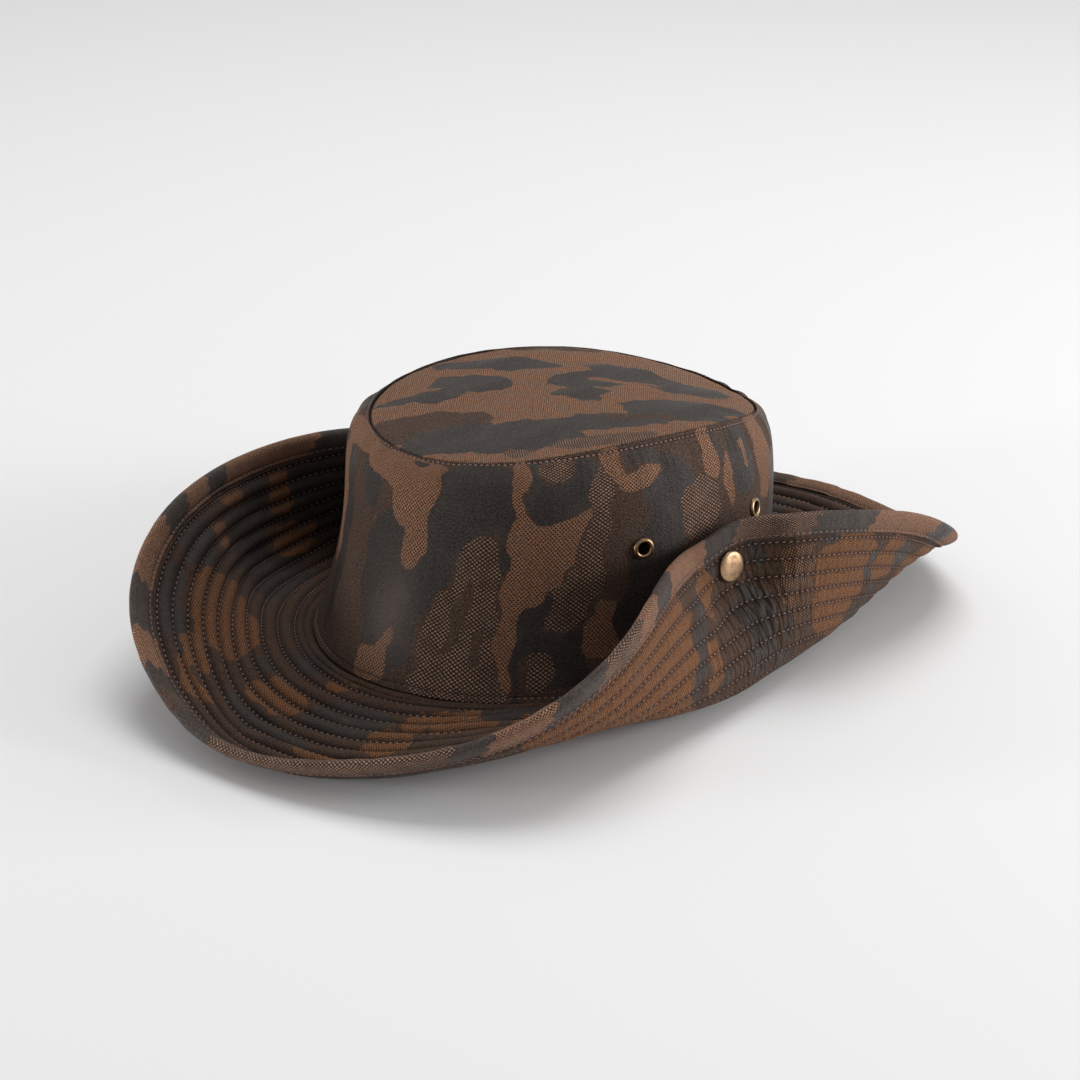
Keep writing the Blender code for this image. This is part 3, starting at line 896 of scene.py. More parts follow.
@dataclass
class Graph:
    """Short calls that add nodes to a material or a node group."""

    tree: bpy.types.NodeTree

    def feed(self, node: bpy.types.Node, values: dict[str | int, Value]) -> None:
        """Links or sets inputs of a node.

        Args:
            node: the node.
            values: a socket, number, vector or colour for each input.
        """
        for key, value in values.items():
            socket = node.inputs[key]
            if isinstance(value, Socket):
                self.tree.links.new(value, socket)
            else:
                socket.default_value = (*value, 1.0) if socket.type == "RGBA" else value

    def node(
        self, kind: str, values: dict[str | int, Value] | None = None, **settings: object
    ) -> bpy.types.Node:
        """Adds a node.

        Args:
            kind: Blender's name for it.
            values: its inputs, as feed takes them.
            **settings: its properties.

        Returns:
            The node.
        """
        made = self.tree.nodes.new(kind)
        for key, value in settings.items():
            setattr(made, key, value)
        self.feed(made, values or {})
        return made

    def math(self, operation: str, a: Value, b: Value = 0.0, c: Value = 0.0) -> Socket:
        """Result of one Math node."""
        return self.node("ShaderNodeMath", {0: a, 1: b, 2: c}, operation=operation).outputs[0]

    def mix(self, factor: Value, a: Value, b: Value) -> Socket:
        """Colour between a at factor 0 and b at factor 1."""
        return self.node("ShaderNodeMix", {0: factor, 6: a, 7: b}, data_type="RGBA").outputs[2]

    def ramp(self, value: Value, low: float, high: float) -> Socket:
        """0 where value is under low, 1 over high, smooth between."""
        values = {"Value": value, "From Min": low, "From Max": high}
        return self.node("ShaderNodeMapRange", values, interpolation_type="SMOOTHSTEP").outputs["Result"]

    def noise(self, vector: Value, scale: float, detail: float = 2.0) -> Socket:
        """Noise from 0 to 1 about 0.5."""
        values = {"Vector": vector, "Scale": scale, "Detail": detail}
        return self.node("ShaderNodeTexNoise", values).outputs[0]

    def scaled(self, vector: Value, scale: tuple[float, float, float]) -> Socket:
        """Vector with each part multiplied."""
        return self.node("ShaderNodeVectorMath", {0: vector, 1: scale}, operation="MULTIPLY").outputs[0]

    def attribute(self, name: str, output: str = "Fac") -> Socket:
        """Value of a point attribute."""
        return self.node("ShaderNodeAttribute", attribute_name=name).outputs[output]

    def bump(self, strength: Value, distance: float, height: Value, **under: Socket) -> Socket:
        """Normal of a height, on top of the Normal that under may give."""
        values = {"Strength": strength, "Distance": distance, "Height": height, **under}
        return self.node("ShaderNodeBump", values).outputs[0]


def new_material(name: str) -> tuple[bpy.types.Material, Graph, bpy.types.Node]:
    """Starts a material.

    Args:
        name: its name.

    Returns:
        The material, its graph and its shader.
    """
    material = bpy.data.materials.new(name)
    material.use_nodes = True
    return material, Graph(material.node_tree), material.node_tree.nodes["Principled BSDF"]


def new_group(
    name: str, inputs: dict[str, str], outputs: dict[str, str]
) -> tuple[Graph, dict[str, Socket], bpy.types.Node]:
    """Starts a node group.

    Args:
        name: its name.
        inputs: kinds of its inputs by name.
        outputs: kinds of its outputs by name.

    Returns:
        Its graph, its inputs by name and its output node.
    """
    tree = bpy.data.node_groups.new(name, "ShaderNodeTree")
    for sockets, way in ((inputs, "INPUT"), (outputs, "OUTPUT")):
        for key, kind in sockets.items():
            tree.interface.new_socket(key, in_out=way, socket_type=kind)
    graph = Graph(tree)
    source = graph.node("NodeGroupInput")
    return graph, {key: source.outputs[key] for key in inputs}, graph.node("NodeGroupOutput")


def woven_group(thread_period: float = 0.62) -> bpy.types.NodeTree:
    """Fine canvas: a height of crossing threads, and a grain that darkens and lightens the cloth.

    Args:
        thread_period: millimetres in which the weave repeats.

    Returns:
        The group.
    """
    graph, source, sink = new_group("woven", {"Cloth": VECTOR}, {"Height": FLOAT, "Grain": FLOAT})
    cloth = source["Cloth"]
    split = graph.node("ShaderNodeSeparateXYZ", {0: cloth})
    turn = 2 * math.pi / thread_period
    warp, weft = (graph.math("SINE", graph.math("MULTIPLY", split.outputs[k], turn)) for k in (0, 1))
    threads = graph.math("MULTIPLY", warp, weft)
    fine = graph.noise(cloth, 1.5, 4.0)
    slub = graph.noise(graph.scaled(cloth, (0.5, 2.0, 1.0)), 1.0, 2.0)
    height = graph.math("MULTIPLY_ADD", threads, 0.35, graph.math("MULTIPLY", fine, 1.6))
    mottle = graph.math("MULTIPLY_ADD", slub, 0.3, graph.math("MULTIPLY", fine, 0.7))
    height = graph.math("ADD", height, graph.math("MULTIPLY", slub, 0.6))
    graph.feed(sink, {"Height": height, "Grain": graph.ramp(mottle, 0.36, 0.64)})
    return graph.tree


class Dye(NamedTuple):
    """Shades of one colour of the print, where the grain is dark and where it is light."""

    dark: Colour
    light: Colour


BROWN_DYE = Dye((0.0215, 0.0125, 0.0090), (0.108, 0.062, 0.042))
CHARCOAL_DYE = Dye((0.0085, 0.0065, 0.0058), (0.0580, 0.0425, 0.0365))
HATCH_DYE = Dye((0.055, 0.027, 0.0165), (0.25, 0.125, 0.072))
HATCH_LINE_DYE = Dye((0.19, 0.088, 0.046), (0.47, 0.235, 0.132))
DOT_DYE = Dye((0.23, 0.118, 0.070), (0.50, 0.275, 0.170))
DOT_GROUND_DYE = Dye((0.0100, 0.0080, 0.0072), (0.036, 0.026, 0.022))
HOLE_COLOUR = (0.0105, 0.0080, 0.0072)
# Grey-brown for random lighter wear blotches, and painted sheen and highlight where its mask is high
WEAR_AND_SHEEN_COLOUR = (0.165, 0.128, 0.108)
# Painted shade: near black mixed into seams, stitch grooves, wrinkle valleys and the upper brim
PAINTED_SHADE_COLOUR = (0.006, 0.005, 0.005)


def camo_group(woven: bpy.types.NodeTree) -> bpy.types.NodeTree:
    """Camouflage cloth: colour, height and roughness from its masks; the colour has painted shade and sheen.

    Args:
        woven: the canvas that it is printed on.

    Returns:
        The group.
    """
    floats = ("Charcoal", "Hatch", "Dots", "Painted_shade", "Painted_sheen", "Tone", "Period", "Richness")
    inputs = {"Cloth": VECTOR, **dict.fromkeys(floats, FLOAT)}
    outputs = {"Color": COLOUR, "Height": FLOAT, "Roughness": FLOAT}
    graph, source, sink = new_group("camouflage", inputs, outputs)
    cloth = source["Cloth"]
    weave = graph.node("ShaderNodeGroup", {"Cloth": cloth}, node_tree=woven)
    grain = weave.outputs["Grain"]
    ragged = graph.math("MULTIPLY_ADD", graph.noise(cloth, 0.8, 3.0), 0.34, -0.17)
    charcoal, hatched, dotty = (
        graph.ramp(graph.math("ADD", source[key], ragged), 0.46, 0.54) for key in floats[:3]
    )
    split = graph.node("ShaderNodeSeparateXYZ", {0: cloth})
    wobble = graph.math("MULTIPLY_ADD", graph.noise(cloth, 0.25, 1.0), 1.2, -0.6)
    x, y = graph.math("ADD", split.outputs[0], wobble), split.outputs[1]

    def wave(value: Value, share: float) -> Socket:
        """Cosine that repeats at this share of the print's period."""
        turns = graph.math("DIVIDE", value, source["Period"])
        return graph.math("COSINE", graph.math("MULTIPLY", turns, 2 * math.pi / share))

    diagonals = (wave(graph.math(way, x, y), 1.0) for way in ("ADD", "SUBTRACT"))
    thread = graph.ramp(graph.math("MAXIMUM", *diagonals), 0.12, 0.92)
    dots = graph.ramp(graph.math("MULTIPLY", wave(x, 1.32), wave(y, 0.98)), 0.1, 0.5)
    fade = graph.ramp(graph.noise(cloth, 0.13, 3.0), 0.3, 0.62)
    strong = graph.math("MULTIPLY_ADD", fade, 0.4, 0.6)
    lines = graph.mix(thread, HOLE_COLOUR, graph.mix(grain, *HATCH_LINE_DYE))
    hatch = graph.mix(strong, graph.mix(grain, *HATCH_DYE), lines)
    dotted = graph.math("MULTIPLY", dots, strong)
    dot = graph.mix(dotted, graph.mix(grain, *DOT_GROUND_DYE), graph.mix(grain, *DOT_DYE))
    colour = graph.mix(charcoal, graph.mix(grain, *BROWN_DYE), graph.mix(grain, *CHARCOAL_DYE))
    colour = graph.mix(hatched, colour, hatch)
    colour = graph.mix(dotty, colour, dot)
    # Random lighter wear blotches, plus painted sheen and highlight from the mask input
    blotches = graph.math("MULTIPLY", graph.ramp(graph.noise(cloth, 0.09, 3.0), 0.5, 0.75), 0.12)
    colour = graph.mix(graph.math("ADD", blotches, source["Painted_sheen"]), colour, WEAR_AND_SHEEN_COLOUR)
    # Painted shade: darkens seams, stitch grooves, wrinkle valleys and the upper brim, by its mask input
    colour = graph.mix(graph.math("MULTIPLY", source["Painted_shade"], 0.84), colour, PAINTED_SHADE_COLOUR)
    toned = {"Color": colour, "Saturation": source["Richness"], "Value": source["Tone"]}
    raised = graph.math("MULTIPLY", graph.math("ADD", dotted, thread), 0.4)
    rough = graph.math("MULTIPLY_ADD", charcoal, -0.38, 0.88)
    graph.feed(sink, {
        "Color": graph.node("ShaderNodeHueSaturation", toned).outputs[0],
        "Height": graph.math("ADD", weave.outputs["Height"], raised),
        "Roughness": graph.math("MULTIPLY_ADD", grain, -0.12, rough),
    })
    return graph.tree


@dataclass(frozen=True)
class CamoFinish:
    """Camouflage canvas.

    Fields: the tone scales its brightness and the richness its colour, the period is the print's
    repeat in millimetres, and the bump is the weave's strength.
    """

    name: str
    tone: float = 1.0
    period: float = 1.54
    richness: float = 1.0
    sheen: float = 0.05
    bump: float = 0.9
    weave_depth: float = 0.16 * MM
    wrinkle_depth: float = 7.5 * MM

    def make(self, group: bpy.types.NodeTree) -> bpy.types.Material:
        """Makes the material, on the UV map named cloth and the masks.

        Args:
            group: the camouflage group.

        Returns:
            The material.
        """
        material, graph, shader = new_material(self.name)
        pucker = graph.attribute("pucker")
        seam = graph.scaled(graph.attribute("seam_place", "Vector"), (0.44, 0.10, 1.0))
        wrinkle = graph.noise(seam, 1.0, 1.0)
        deep = graph.math("MULTIPLY", pucker, pucker)
        # Painted shade in the wrinkles' valleys, added to the painted shade mask
        crease_shade = graph.math("MULTIPLY", graph.ramp(wrinkle, 0.45, 0.36), deep)
        values = {key.capitalize(): graph.attribute(key) for key in ("charcoal", "hatch", "dots", "painted_sheen")}
        values["Cloth"] = graph.node("ShaderNodeUVMap", uv_map="cloth").outputs[0]
        values["Painted_shade"] = graph.math("MULTIPLY_ADD", crease_shade, 0.45, graph.attribute("painted_shade"))
        values |= {"Tone": self.tone, "Period": self.period, "Richness": self.richness}
        camo = graph.node("ShaderNodeGroup", values, node_tree=group)
        folds = graph.bump(pucker, self.wrinkle_depth, wrinkle)
        graph.feed(shader, {
            "Base Color": camo.outputs["Color"],
            "Roughness": camo.outputs["Roughness"],
            "Normal": graph.bump(self.bump, self.weave_depth, camo.outputs["Height"], Normal=folds),
            "Sheen Weight": self.sheen,
            "Sheen Roughness": 0.55,
            "Sheen Tint": (1.0, 0.9, 0.82),
            "Specular IOR Level": 0.18,
        })
        return material


@dataclass(frozen=True)
class PlainFinish:
    """Plain cloth or thread of two close shades, on Object coordinates."""

    name: str
    dark: Colour
    light: Colour
    roughness: float = 0.85
    scale: float = 1500.0
    sheen: float = 0.2

    def make(self) -> bpy.types.Material:
        """Makes the material.

        Returns:
            The material.
        """
        material, graph, shader = new_material(self.name)
        place = graph.node("ShaderNodeTexCoord").outputs["Object"]
        noise = graph.noise(place, self.scale, 2.0)
        graph.feed(shader, {
            "Base Color": graph.mix(graph.ramp(noise, 0.35, 0.65), self.dark, self.light),
            "Normal": graph.bump(0.5, 0.2 * MM, noise),
            "Roughness": self.roughness,
            "Sheen Weight": self.sheen,
        })
        return material


@dataclass(frozen=True)
class BrassFinish:
    """Antique brass with a brown patina that is worn off where the mask named worn is high."""

    name: str = "antique_brass_worn"
    bright: Colour = (0.42, 0.272, 0.158)
    brown: Colour = (0.15, 0.088, 0.056)

    def make(self) -> bpy.types.Material:
        """Makes the material, on Object coordinates.

        Returns:
            The material.
        """
        material, graph, shader = new_material(self.name)
        place = graph.node("ShaderNodeTexCoord").outputs["Object"]
        cloud = graph.noise(place, 330.0, 4.0)
        speck = graph.noise(place, 1600.0, 2.0)
        mottle = graph.math("MULTIPLY_ADD", speck, 0.4, graph.math("MULTIPLY", cloud, 0.75))
        shine = graph.math("ADD", graph.ramp(mottle, 0.36, 0.74), graph.attribute("worn"))
        shine = graph.math("MINIMUM", shine, 1.0)
        graph.feed(shader, {
            "Base Color": graph.mix(shine, self.brown, self.bright),
            "Roughness": graph.math("MULTIPLY_ADD", shine, -0.16, 0.5),
            "Normal": graph.bump(0.25, 0.2 * MM, cloud),
            "Metallic": 1.0,
        })
        return material


@dataclass
class Wardrobe:
    """All the materials."""

    def __post_init__(self) -> None:
        """Makes each material once."""
        camo = camo_group(woven_group())
        self.crown = CamoFinish("camo_crown").make(camo)
        self.top = CamoFinish("camo_top", period=1.15).make(camo)
        self.brim = CamoFinish("camo_brim", tone=0.88, period=1.25, richness=1.2).make(camo)
        self.binding = CamoFinish("camo_binding", tone=1.1, period=1.1).make(camo)
        self.sweatband = PlainFinish("sweatband_cotton", (0.030, 0.015, 0.013), (0.075, 0.038, 0.032)).make()
        self.thread = PlainFinish(
            "stitch_thread", (0.17, 0.086, 0.066), (0.36, 0.190, 0.148), 0.7, 2500.0
        ).make()
        self.brass = BrassFinish().make()


# Sub-assemblies


@dataclass(frozen=True)
class Brim:
    """Quilted brim: channels between stitch rows, and the bound rim.

    Fields: points round it, a channel's width, how many there are, the last stitch row, the binding's
    width, how far the cloth runs in under the crown, the cord at the crown, how far the cloth's faces
    stand from its middle at a seam and between seams, and points across a channel.
    """

    stations: int = 560
    channel: float = 0.007
    rows: int = 9
    outer_row: float = 0.0700
    binding_width: float = 0.0092
    lip: float = 0.0012
    cord: float = 0.0033
    low: float = 0.0004
    puff: float = 0.0022
    under_puff: float = 0.0009
    upper_steps: int = 8
    under_steps: int = 6
    wrinkle_radius: float = 0.126
    binding_radius: float = 0.150

    def seam_rows(self) -> Array:
        """Distances of the stitch rows out from the crown."""
        return np.array([self.channel * k for k in range(1, self.rows + 1)] + [self.outer_row])

    def places(self, steps: int) -> Array:
        """Distances of the cloth's rows of points, closer together at each seam.

        Args:
            steps: points across a channel.

        Returns:
            Distances out from the crown.
        """
        seams = np.concatenate([[0.0, self.cord], self.seam_rows()])
        share = (1 - np.cos(np.arange(steps) * math.pi / steps)) / 2
        channels = (seams[:-1, None] + np.diff(seams)[:, None] * share).reshape(-1)
        tail = self.outer_row + np.array([0.0, 0.0007, 0.0014, 0.0022, 0.0045, 0.007, 0.0092])
        return np.concatenate([[-self.lip, -self.lip / 2], channels, tail])

    def swell(self, distances: Array, angles: Array, puff: float) -> Array:
        """Quilting of one face: a parabola to the power 0.75 across each channel, uneven round the hat.

        Args:
            distances: places out from the crown.
            angles: places round the hat.
            puff: how far a whole channel stands out.

        Returns:
            How far the face stands from the middle of the cloth.
        """
        edge = FORM.brim_width - self.binding_width
        seams = np.concatenate([[0.0, self.cord], self.seam_rows(), [edge + 0.0002, edge + 0.006]])
        index = np.clip(np.searchsorted(seams, distances, side="right") - 1, 0, len(seams) - 2)
        width = seams[index + 1] - seams[index]
        x = np.clip((distances - seams[index]) / width, 0, 1)
        dome = (4 * x * (1 - x)) ** 0.75
        size = np.minimum(width / self.channel, 1.0) ** 0.6
        shift = index[:, None]
        wave = 1 + 0.16 * np.sin(9 * angles + 2.3 * shift) + 0.10 * np.sin(23 * angles - 1.7 * shift)
        swelling = self.low + puff * (dome * size)[:, None] * wave
        tail = smooth_step((distances - edge - 0.0008) / 0.002)[:, None]
        return swelling * (1 - tail) + 0.0009 * tail

    def masks(
        self, patches: Sequence[Patch], distances: Array, angles: Array, under: bool
    ) -> dict[str, Array]:
        """Camouflage of one face, painted shade along its seams and over the upper face, painted sheen, and
        wrinkles that gather under the left snap.

        Args:
            patches: its blots.
            distances: places out from the crown.
            angles: places round the hat.
            under: whether it is the lower face.

        Returns:
            The masks by name.
        """
        degrees, up = np.broadcast_arrays(np.degrees(angles)[None], distances[:, None] / MM)
        masks = BRIM_PRINT.paint(patches, degrees, up)
        nearest = np.abs(distances[:, None] - self.seam_rows()).min(1)[:, None]
        pull = bell(degrees, 100, 10) * bell(up, 42, 22)
        if under:
            # Lower face: painted shade along the stitch rows, and painted sheen all over
            masks["painted_shade"], masks["painted_sheen"] = 0.7 * bell(nearest, 0, 0.0008), 0.09
            masks["pucker"] = 0.22 + 0.78 * pull
        else:
            # Upper face: painted shade along the stitch rows and over the whole face, and a little painted
            # sheen
            masks["painted_shade"], masks["painted_sheen"] = 0.85 * bell(nearest, 0, 0.0013) + 0.13, 0.06
            masks["pucker"] = 0.06 + 0.05 * pull
        return {key: np.broadcast_to(value, degrees.shape) for key, value in masks.items()}

    def build_cloth(self, wardrobe: Wardrobe) -> None:
        """Both faces of the quilted cloth as one closed skin.

        Args:
            wardrobe: the materials.
        """
        angles = ring_angles(self.stations)
        upper = self.places(self.upper_steps)
        under = self.places(self.under_steps)[::-1]
        upper_patches = (*BRIM_PRINT.scatter(3, 56, 270, 80, 17.0), *UPPER_PATCHES)
        under_patches = (*BRIM_PRINT.scatter(8, 150, 400, 80, 17.0), *UNDER_PATCHES)
        faces, masks = [], []
        for distances, side, puff, patches in (
            (upper, 1, self.puff, upper_patches),
            (under, -1, self.under_puff, under_patches),
        ):
            swelling = self.swell(distances, angles, puff)[..., None]
            face = FORM.brim(distances, angles) + side * FORM.brim_normals(distances, angles) * swelling
            face[..., 2] = np.maximum(face[..., 2], 0.0)
            faces.append(face)
            masks.append(self.masks(patches, distances, angles, side < 0))
        distances = np.concatenate([upper, under])
        joined = {key: np.concatenate([face_masks[key] for face_masks in masks]) for key in masks[0]}
        turn = np.concatenate([angles, [math.pi]])
        x = (FORM.base_half_width + distances[:, None]) * np.sin(turn) / MM
        y = (FORM.base_half_length + distances[:, None]) * np.cos(turn) / MM
        skin = Skin(np.concatenate(faces), np.stack([x, y], -1), joined)
        brim = skin.build("brim_cloth", wardrobe.brim)
        add_seam_place(brim, strip_places(angles, self.wrinkle_radius, distances / MM)[:, :-1])
        settle(brim, Slot.CAMO, "brim")

    def build_stitches(self, wardrobe: Wardrobe) -> None:
        """Rows of stitches on both faces, and those that hold the binding.

        Args:
            wardrobe: the materials.
        """
        thread = Thread(1.5 * MM, 2.7 * MM, 0.52 * MM, 0.4 * MM)
        angles = ring_angles(1400)
        rows = [*self.seam_rows(), FORM.brim_width - self.binding_width + 0.0013]
        for side, name, above in ((1, "brim_stitches_upper", 0.0007), (-1, "brim_stitches_under", 0.0004)):
            lines = []
            for k, distance in enumerate(rows):
                middle = FORM.brim(np.array([distance]), angles)[0]
                normal = side * FORM.brim_normals(np.array([distance]), angles)[0]
                stand = 0.0016 if k == len(rows) - 1 else self.low + above
                lines.append(thread.along(middle + normal * stand, normal, 0.37 * k))
            settle(thread.build(name, lines, wardrobe.thread), Slot.BINDING)

    def binding_section(self) -> tuple[Array, Array]:
        """The binding's outline across the rim, out along one side and back along its lining.

        Returns:
            Distances out from the crown, and heights above the middle of the brim's cloth.
        """
        outer = (
            (-9.2, 0.95), (-9.15, 1.35), (-8.9, 1.6), (-8.5, 1.55), (-8.1, 1.35), (-7.8, 1.3),
            (-7.4, 1.45), (-6.8, 1.75), (-5.8, 2.0), (-4.6, 2.15), (-3.4, 2.2), (-2.2, 2.15),
            (-1.3, 1.9), (-0.7, 1.5), (-0.28, 1.0), (-0.05, 0.45), (0.0, 0.0),
        )
        inner = ((-0.9, 0.0), (-1.4, 0.8), (-2.6, 1.15), (-5.0, 1.15), (-7.8, 0.8), (-9.0, 0.75))
        section = [*outer, *((d, -h) for d, h in outer[-2::-1])]
        section += [(d, -h) for d, h in inner[::-1]] + list(inner[1:])
        places, heights = np.array(section).T * MM
        return places + FORM.brim_width, heights

    def binding_masks(self, run: Array, places: Array, degrees: Array) -> dict[str, Array | float]:
        """Runs of cloth round the binding, which cross it at a slant, painted shade at its edge and seam, and
        painted sheen.

        Args:
            run: places across the strip in millimetres.
            places: distances out from the crown.
            degrees: places round the hat.

        Returns:
            The masks by name.
        """
        lean = degrees[None] + 0.16 * (run[:, None] - 10) + 0.5 * np.sin(1.3 * run[:, None])
        first = BAND_RUNS[0].start
        lean = (lean - first) % 360 + first
        masks = {cloth.value: np.zeros(lean.shape) for cloth in Cloth}
        for band, end in zip(BAND_RUNS, [*(band.start for band in BAND_RUNS[1:]), first + 360]):
            share = np.clip(0.5 + np.minimum(lean - band.start, end - lean) / 0.9, 0, 1)
            masks[band.cloth.value] = np.maximum(masks[band.cloth.value], share)
        del masks[Cloth.BROWN.value]
        # Painted shade in the binding's stitched groove and at its inner edge; painted sheen all over
        seam, edge = 0.5 * bell(run, run[6], 0.7), 0.8 * bell(places, places[0], 0.0004)
        return {**masks, "painted_shade": np.maximum(seam, edge)[:, None], "pucker": 0.10, "painted_sheen": 0.10}

    def build_binding(self, wardrobe: Wardrobe) -> None:
        """Folded strip round the rim, with small ripples and a lap where its ends meet.

        Args:
            wardrobe: the materials.
        """
        places, heights = self.binding_section()
        angles = ring_angles(760)
        degrees = np.degrees(angles)
        normal = FORM.brim_normals(np.minimum(places, FORM.brim_width - 0.0003), angles)
        ripple = 1 + 0.05 * np.sin(61 * angles) + 0.04 * np.sin(97 * angles + 1) + 0.05 * np.sin(17 * angles)
        lap = 1 + 0.3 * (smooth_step((degrees + 178.5) / 0.5) - smooth_step((degrees + 168) / 9))
        stand = heights[:, None] * ripple * lap
        points = FORM.brim(places, angles) + normal * stand[..., None]
        points[..., 2] = np.maximum(points[..., 2], 0.0)
        run = np.cumsum(np.abs(np.diff(np.concatenate([[places[0]], places])) / MM) + 0.2)
        cloth = strip_places(angles, self.binding_radius, run)
        masks = self.binding_masks(run, places, degrees)
        binding = Skin(points, cloth, masks).build("brim_binding_cloth", wardrobe.binding)
        add_seam_place(binding, cloth[:, :-1])
        settle(binding, Slot.BINDING, "brim_binding")


class Vent(NamedTuple):
    """Place of an eyelet: share of the crown's height, and degrees from the front."""

    end: str
    level: float
    angle: float


VENTS = (Vent("front", 0.63, 73.0), Vent("back", 0.67, 110.5))


def wall_place(level: float, angle: float) -> Matrix:
    """Place on the crown's wall.

    Args:
        level: share of the crown's height.
        angle: degrees from the front.

    Returns:
        Matrix to that place, whose Z points out of the wall.
    """
    around = np.radians([angle - 0.5, angle, angle + 0.5])
    rows = FORM.wall(np.array([level - 0.01, level, level + 0.01]), around)
    normal = unit(np.cross(rows[1, 2] - rows[1, 0], rows[2, 1] - rows[0, 1]))
    turn = Vector(normal).to_track_quat("Z", "Y").to_matrix().to_4x4()
    return Matrix.Translation(Vector(rows[1, 1])) @ turn


@dataclass(frozen=True)
class Crown:
    """Side wall with its vents, top, and their stitches.

    Fields: points round it, the cloth's thickness, how far the top's stitches lie under the seam and
    the base's above the brim, the gap at the base, and the radius of its cloth places.
    """

    stations: int = 540
    cloth: float = 0.0015
    stitch_drop: float = 0.0022
    base_stitch: float = 0.0032
    base_gap: float = 0.0009
    radius: float = 0.083

    def waves(self, levels: Array, angles: Array) -> Array:
        """Soft dents and puckers of the wall: sums of sines, and bells for the front's dent and swell.

        Args:
            levels: shares of the height.
            angles: places round the hat.

        Returns:
            Lengths along the wall's normal.
        """
        t, v = angles[None], levels[:, None]
        slow = 0.35 * np.sin(3 * t + 5 * v) + 0.3 * np.sin(5 * t - 3.1 * v + 1)
        slow = slow + 0.22 * np.sin(9 * t + 7 * v + 2)
        fold = np.sin(27 * t + 1.5 * np.sin(4 * t)) + 0.6 * np.sin(43 * t + 2)
        crease = np.sin(33 * t + 1.1) + 0.5 * np.sin(52 * t)
        dent = -1.5 * bell(t, 0.42, 0.16) * bell(v, 0.30, 0.2)
        swell = 0.9 * bell(t, 0.16, 0.13) * bell(v, 0.34, 0.22)
        ends = 0.30 * bell(v, 1.0, 0.13) * fold + 0.16 * bell(v, 0, 0.12) * crease
        return (slow + dent + swell + ends) * MM

    def wall_masks(self, levels: Array, shown: int, angles: Array) -> dict[str, Array]:
        """Camouflage of the wall, painted shade at its seams and stitches, puckers under the top, and a
        painted highlight and sheen.

        Args:
            levels: shares of the height, of the outer face, the turned edge and the inside.
            shown: how many of them are the outer face's.
            angles: places round the hat.

        Returns:
            The masks by name.
        """
        degrees, up = np.broadcast_arrays(np.degrees(angles)[None], levels[:, None] * FORM.crown_height / MM)
        spare = WALL_PRINT.scatter(5, 134, 322, 98, 13.0)
        masks = WALL_PRINT.paint((*spare, *WALL_PATCHES), degrees, up)
        # Painted shade under the top's seam, at the seam, along the base stitches and on the turned edge;
        # none inside
        base = levels * FORM.crown_height
        drop = FORM.seam_level * FORM.crown_height - base
        painted_shade = 0.75 * bell(drop, self.stitch_drop, 0.0006) + 0.5 * bell(drop, 0, 0.0005)
        painted_shade = painted_shade + 0.5 * bell(base, self.base_stitch, 0.0007)
        painted_shade[shown:] = 0.0
        painted_shade[shown : shown + 3] = 0.9
        masks["painted_shade"] = painted_shade[:, None]
        masks["pucker"] = 0.05 + 0.12 * bell(up, 92, 8)
        # Painted highlight low on the front, and faint painted sheen round the side at 85 degrees
        masks["painted_sheen"] = 0.02 * bell(degrees, 85, 22) + 0.36 * bell(degrees, 9, 8) * bell(up, 27, 17)
        return masks

    def build_wall(self, wardrobe: Wardrobe) -> None:
        """Side wall as a closed skin: outer face with stitched grooves, turned edge, and inside.

        Args:
            wardrobe: the materials.
        """
        angles = ring_angles(self.stations)
        low, middle = np.linspace(0.004, 0.06, 9), np.linspace(0.075, 1.03, 78)
        high = np.linspace(1.04, FORM.seam_level, 20)
        levels = np.concatenate([low, middle, high])
        rows = FORM.wall(levels, angles)
        normal = outward_normals(rows)
        ends = smooth_step(levels / 0.05)[:, None] * smooth_step((FORM.seam_level - levels) / 0.06)[:, None]
        rows = rows + normal * (self.waves(levels, angles) * (0.35 + 0.65 * ends))[..., None]
        drop = (FORM.seam_level - levels) * FORM.crown_height
        groove = 0.00035 * bell(drop, self.stitch_drop, 0.0006)
        groove = groove + 0.0003 * bell(levels * FORM.crown_height, self.base_stitch, 0.0006)
        rows = rows - normal * groove[:, None, None]
        rows[..., 2] += (1 - smooth_step(levels / 0.06))[:, None] * self.base_gap
        turned = np.array([[0.25, 0.25], [0.55, 0.7], [0.75, 1.3]]) * MM
        edge = np.array([rows[-1] - normal[-1] * inwards - [0, 0, down] for inwards, down in turned])
        inner_levels = np.linspace(1.08, 0.02, 24)
        inside = FORM.wall(inner_levels, angles)
        inside = inside - outward_normals(inside) * self.cloth
        inside[-1, :, 2] += self.base_gap
        points = np.concatenate([rows, edge, inside])
        levels = np.concatenate([levels, [FORM.seam_level] * len(edge), inner_levels])
        masks = self.wall_masks(levels, len(rows), angles)
        cloth = strip_places(angles, self.radius, levels * FORM.crown_height / MM)
        wall = Skin(points, cloth, masks).build("crown_side_cloth", wardrobe.crown)
        add_seam_place(wall, cloth[:, :-1])
        self.cut_vents(wall)
        settle(wall, Slot.CAMO, "crown_side")
        self.build_stitches(wardrobe)

    def cut_vents(self, wall: bpy.types.Object) -> None:
        """Cuts the eyelets' holes through the wall.

        Args:
            wall: the wall.
        """
        for side in (1, -1):
            for vent in VENTS:
                place = wall_place(vent.level, side * vent.angle)
                bpy.ops.mesh.primitive_cylinder_add(vertices=32, radius=0.0028, depth=0.016)
                cutter = bpy.context.object
                cutter.data.transform(place)
                boolean = wall.modifiers.new("vent", "BOOLEAN")
                boolean.operation = "DIFFERENCE"
                boolean.solver = "EXACT"
                boolean.object = cutter
                bpy.context.view_layer.objects.active = wall
                bpy.ops.object.modifier_apply(modifier=boolean.name)
                bpy.data.objects.remove(cutter, do_unlink=True)

